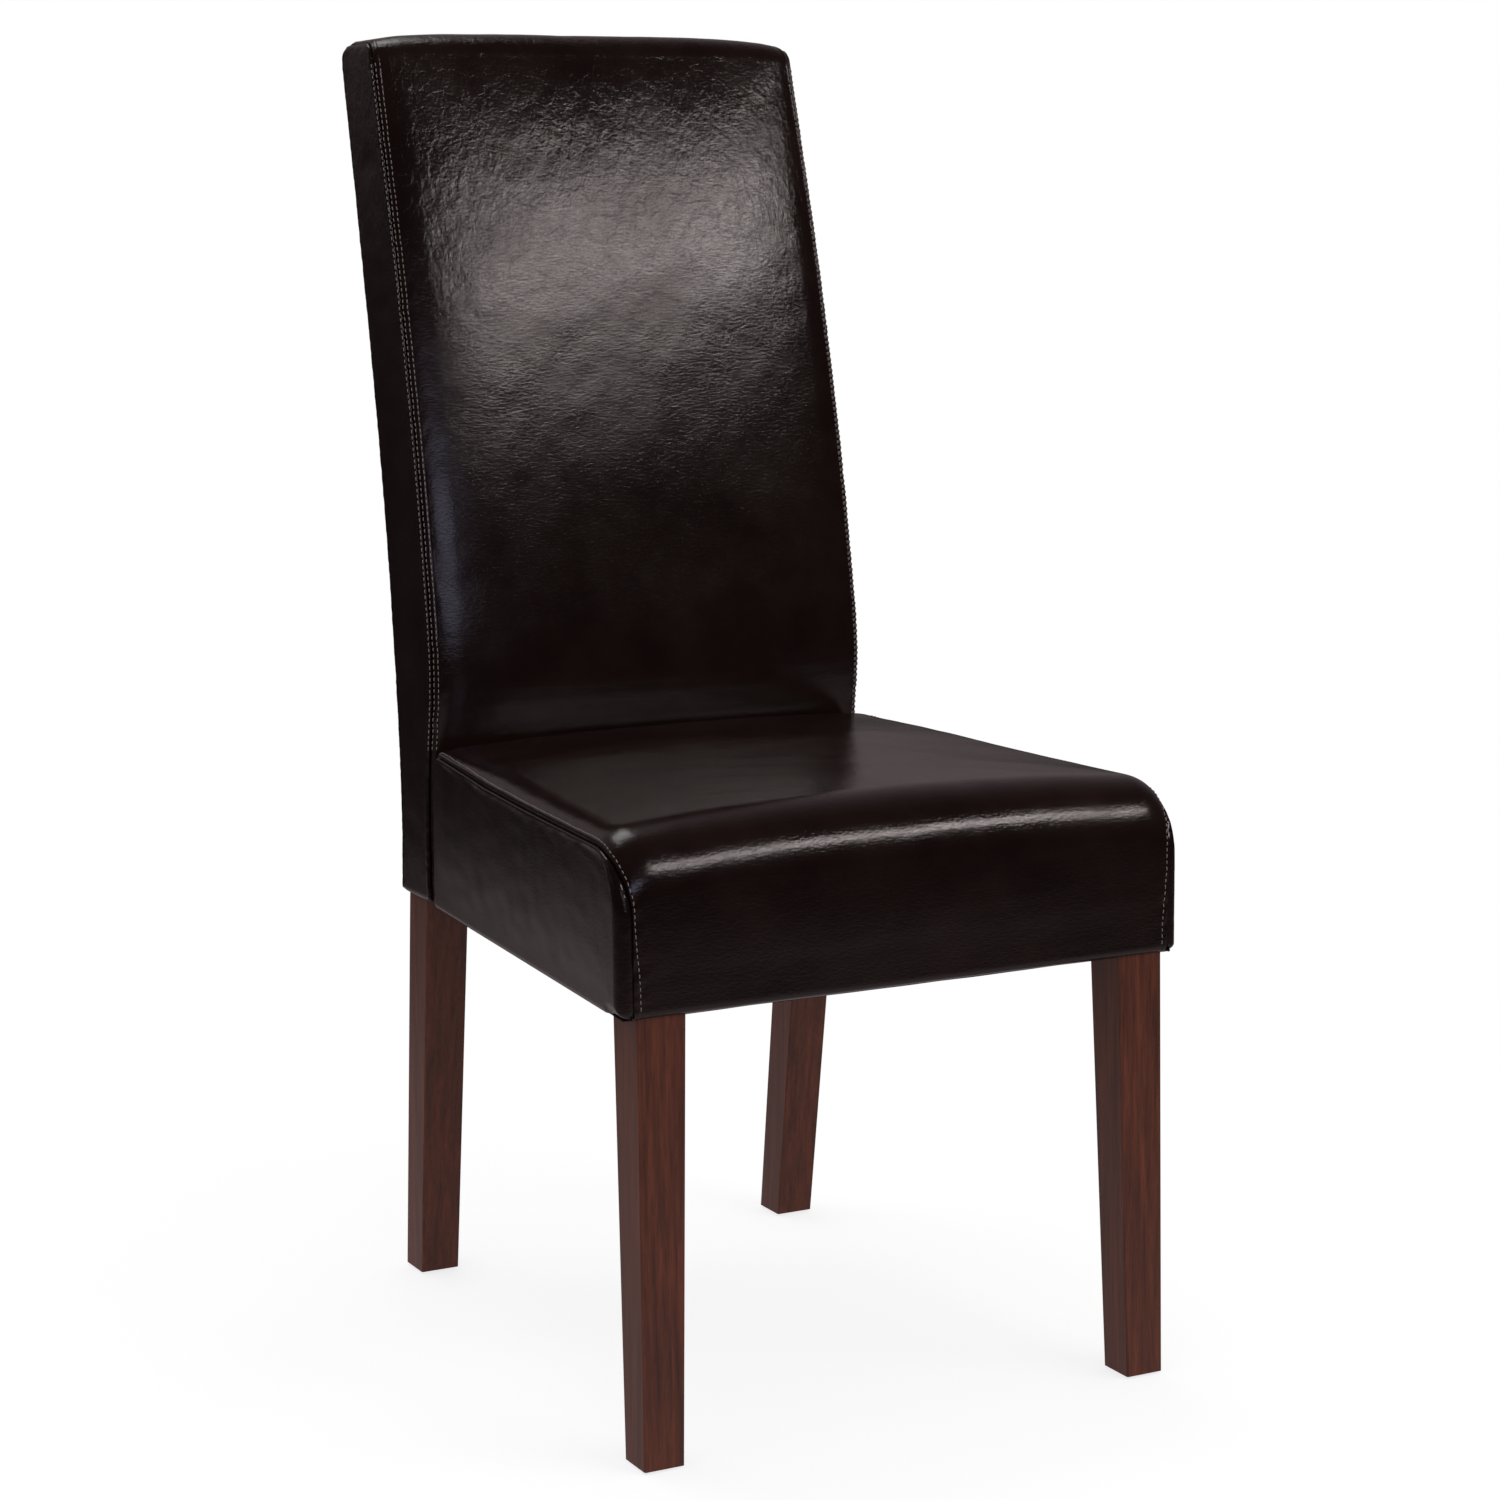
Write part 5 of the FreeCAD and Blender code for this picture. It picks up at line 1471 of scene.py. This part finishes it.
@dataclass
class Studio:
    """Pale floor, white surroundings for the camera, softboxes and the camera itself."""

    target: tuple[float, float, float] = (-0.132, -0.2926, 0.511)
    azimuth: float = -28.25
    elevation: float = 9.76
    distance: float = 2.397
    lens: float = 82.85
    bounce: str = "#ffebed"

    def build(self) -> None:
        """Make the whole studio."""
        self.camera()
        self.floor()
        self.world()
        self.softbox("key_softbox", (1.18, -1.80, 1.99), (0.0, 0.2, 0.85), (1.6, 0.20), 16.0, "#fff3f1")
        self.softbox("front_strip", (-0.5, -2.6, 1.3), (-0.1, 0.1, 0.65), (1.2, 0.5), 3.4, "#dfdfff")
        self.softbox("top_fill", (-0.2, 0.9, 2.9), (0.0, 0.0, 0.7), (1.5, 1.0), 14.0, "#ffffff")
        scene = bpy.context.scene
        scene.view_settings.view_transform = "Standard"

    def camera(self) -> None:
        """Place the camera at the photograph's viewing angle."""
        data = bpy.data.cameras.new("camera")
        data.lens, data.sensor_width = self.lens, 36.0
        camera = bpy.data.objects.new("camera", data)
        bpy.context.scene.collection.objects.link(camera)
        turn, rise = math.radians(self.azimuth), math.radians(self.elevation)
        back = Vector((math.sin(turn) * math.cos(rise), -math.cos(turn) * math.cos(rise), math.sin(rise)))
        camera.location = Vector(self.target) + back * self.distance
        camera.rotation_mode = "QUATERNION"
        camera.rotation_quaternion = (-back).to_track_quat("-Z", "Y")
        bpy.context.scene.camera = camera

    def floor(self) -> None:
        """Lay a pale floor that keeps the shadow and looks white to the camera."""
        reach = 40.0
        corners = [(-reach, -reach, 0), (reach, -reach, 0), (reach, reach, 0), (-reach, reach, 0)]
        mesh = bpy.data.meshes.new("floor")
        mesh.from_pydata(corners, [], [[0, 1, 2, 3]])
        material = bpy.data.materials.new("painted_studio_floor")
        material.use_nodes = True
        tree = material.node_tree
        tree.nodes.clear()
        paths = add_node(tree, "ShaderNodeLightPath")
        lit = add_node(tree, "ShaderNodeBsdfDiffuse", inputs={"Color": linear_rgba("#8c8c8c")})
        glow = add_node(tree, "ShaderNodeEmission", inputs={"Color": (1, 1, 1, 1), "Strength": 0.78})
        both = add_node(tree, "ShaderNodeAddShader", inputs={0: lit.outputs[0], 1: glow.outputs[0]})
        white = add_node(tree, "ShaderNodeEmission", inputs={"Color": (1, 1, 1, 1), "Strength": 1.0})
        place = add_node(tree, "ShaderNodeTexCoord").outputs["Object"]
        away = add_node(tree, "ShaderNodeVectorMath", {"operation": "LENGTH"}, {0: place})
        far = add_node(tree, "ShaderNodeMapRange", {"interpolation_type": "SMOOTHSTEP"},
                       {"Value": away.outputs["Value"], "From Min": 0.5, "From Max": 1.3})
        faded = add_node(tree, "ShaderNodeMixShader", inputs={
            0: far.outputs["Result"], 1: both.outputs[0], 2: white.outputs[0]})
        spread = add_node(tree, "ShaderNodeMapRange", {"interpolation_type": "SMOOTHSTEP"}, {
            "Value": away.outputs["Value"], "From Min": 0.5, "From Max": 2.4, "To Min": 0.40, "To Max": 0.02})
        dim = add_node(tree, "ShaderNodeEmission", inputs={
            "Color": linear_rgba(self.bounce), "Strength": spread.outputs["Result"]})
        unseen = add_node(tree, "ShaderNodeMixShader", inputs={
            0: paths.outputs["Is Glossy Ray"], 1: lit.outputs[0], 2: dim.outputs[0]})
        seen = add_node(tree, "ShaderNodeMixShader", inputs={
            0: paths.outputs["Is Camera Ray"], 1: unseen.outputs[0], 2: faded.outputs[0]})
        add_node(tree, "ShaderNodeOutputMaterial", inputs={"Surface": seen.outputs[0]})
        link_object("floor", mesh, material)

    def world(self) -> None:
        """White backdrop for the camera, and a dim even room for everything else."""
        world = bpy.data.worlds.new("studio")
        bpy.context.scene.world = world
        world.use_nodes = True
        tree = world.node_tree
        tree.nodes.clear()
        paths = add_node(tree, "ShaderNodeLightPath")
        even = add_node(tree, "ShaderNodeBackground", inputs={"Color": (1, 1, 1, 1), "Strength": 0.75})
        way = add_node(tree, "ShaderNodeTexCoord").outputs["Generated"]
        split = add_node(tree, "ShaderNodeSeparateXYZ", inputs={"Vector": way})
        behind = add_node(tree, "ShaderNodeMapRange", {"interpolation_type": "SMOOTHSTEP"}, {
            "Value": split.outputs["Y"], "From Min": -0.1, "From Max": 0.9, "To Min": 0.015, "To Max": 0.26})
        height = add_node(tree, "ShaderNodeMapRange", {"interpolation_type": "SMOOTHSTEP"}, {
            "Value": split.outputs["Z"], "From Min": -0.05, "From Max": 0.22, "To Min": 0.08, "To Max": 1.0})
        backdrop = add_node(tree, "ShaderNodeMath", {"operation": "MULTIPLY"},
                            {0: behind.outputs["Result"], 1: height.outputs["Result"]})
        mirrored = add_node(tree, "ShaderNodeBackground", inputs={
            "Color": linear_rgba(self.bounce), "Strength": backdrop.outputs[0]})
        room = add_node(tree, "ShaderNodeMixShader", inputs={
            0: paths.outputs["Is Glossy Ray"], 1: even.outputs[0], 2: mirrored.outputs[0]})
        white = add_node(tree, "ShaderNodeBackground", inputs={"Color": (1, 1, 1, 1), "Strength": 1.0})
        seen = add_node(tree, "ShaderNodeMixShader", inputs={
            0: paths.outputs["Is Camera Ray"], 1: room.outputs[0], 2: white.outputs[0]})
        add_node(tree, "ShaderNodeOutputWorld", inputs={"Surface": seen.outputs[0]})

    def softbox(self, name: str, place: tuple[float, float, float], aim: tuple[float, float, float],
                size: tuple[float, float], power: float, tint: str) -> None:
        """Add one area light.

        Args:
            name: Name of the light.
            place: Where it stands.
            aim: Point it faces.
            size: Width and height.
            power: Power in watts.
            tint: sRGB hex colour.
        """
        data = bpy.data.lights.new(name, "AREA")
        data.shape = "RECTANGLE"
        data.size, data.size_y = size
        data.energy = power
        data.color = linear_rgba(tint)[:3]
        light = bpy.data.objects.new(name, data)
        bpy.context.scene.collection.objects.link(light)
        light.location = place
        light.rotation_mode = "QUATERNION"
        light.rotation_quaternion = (Vector(aim) - Vector(place)).to_track_quat("-Z", "Y")


def main() -> None:
    """Build the chair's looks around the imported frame."""
    logging.basicConfig(level=logging.INFO, format="%(message)s")
    Studio().build()
    FrameFinishes().dress(frame["nodes"], frame["record"])
    leather = BondedLeather().build()
    thread = SewingThread().build()
    cloth = WovenCloth("#141416", 1.2).build("dust_cloth")
    SeatBox().build(leather, thread, cloth)
    BackSlab().build(leather, thread)


if __name__ == "__main__":
    main()
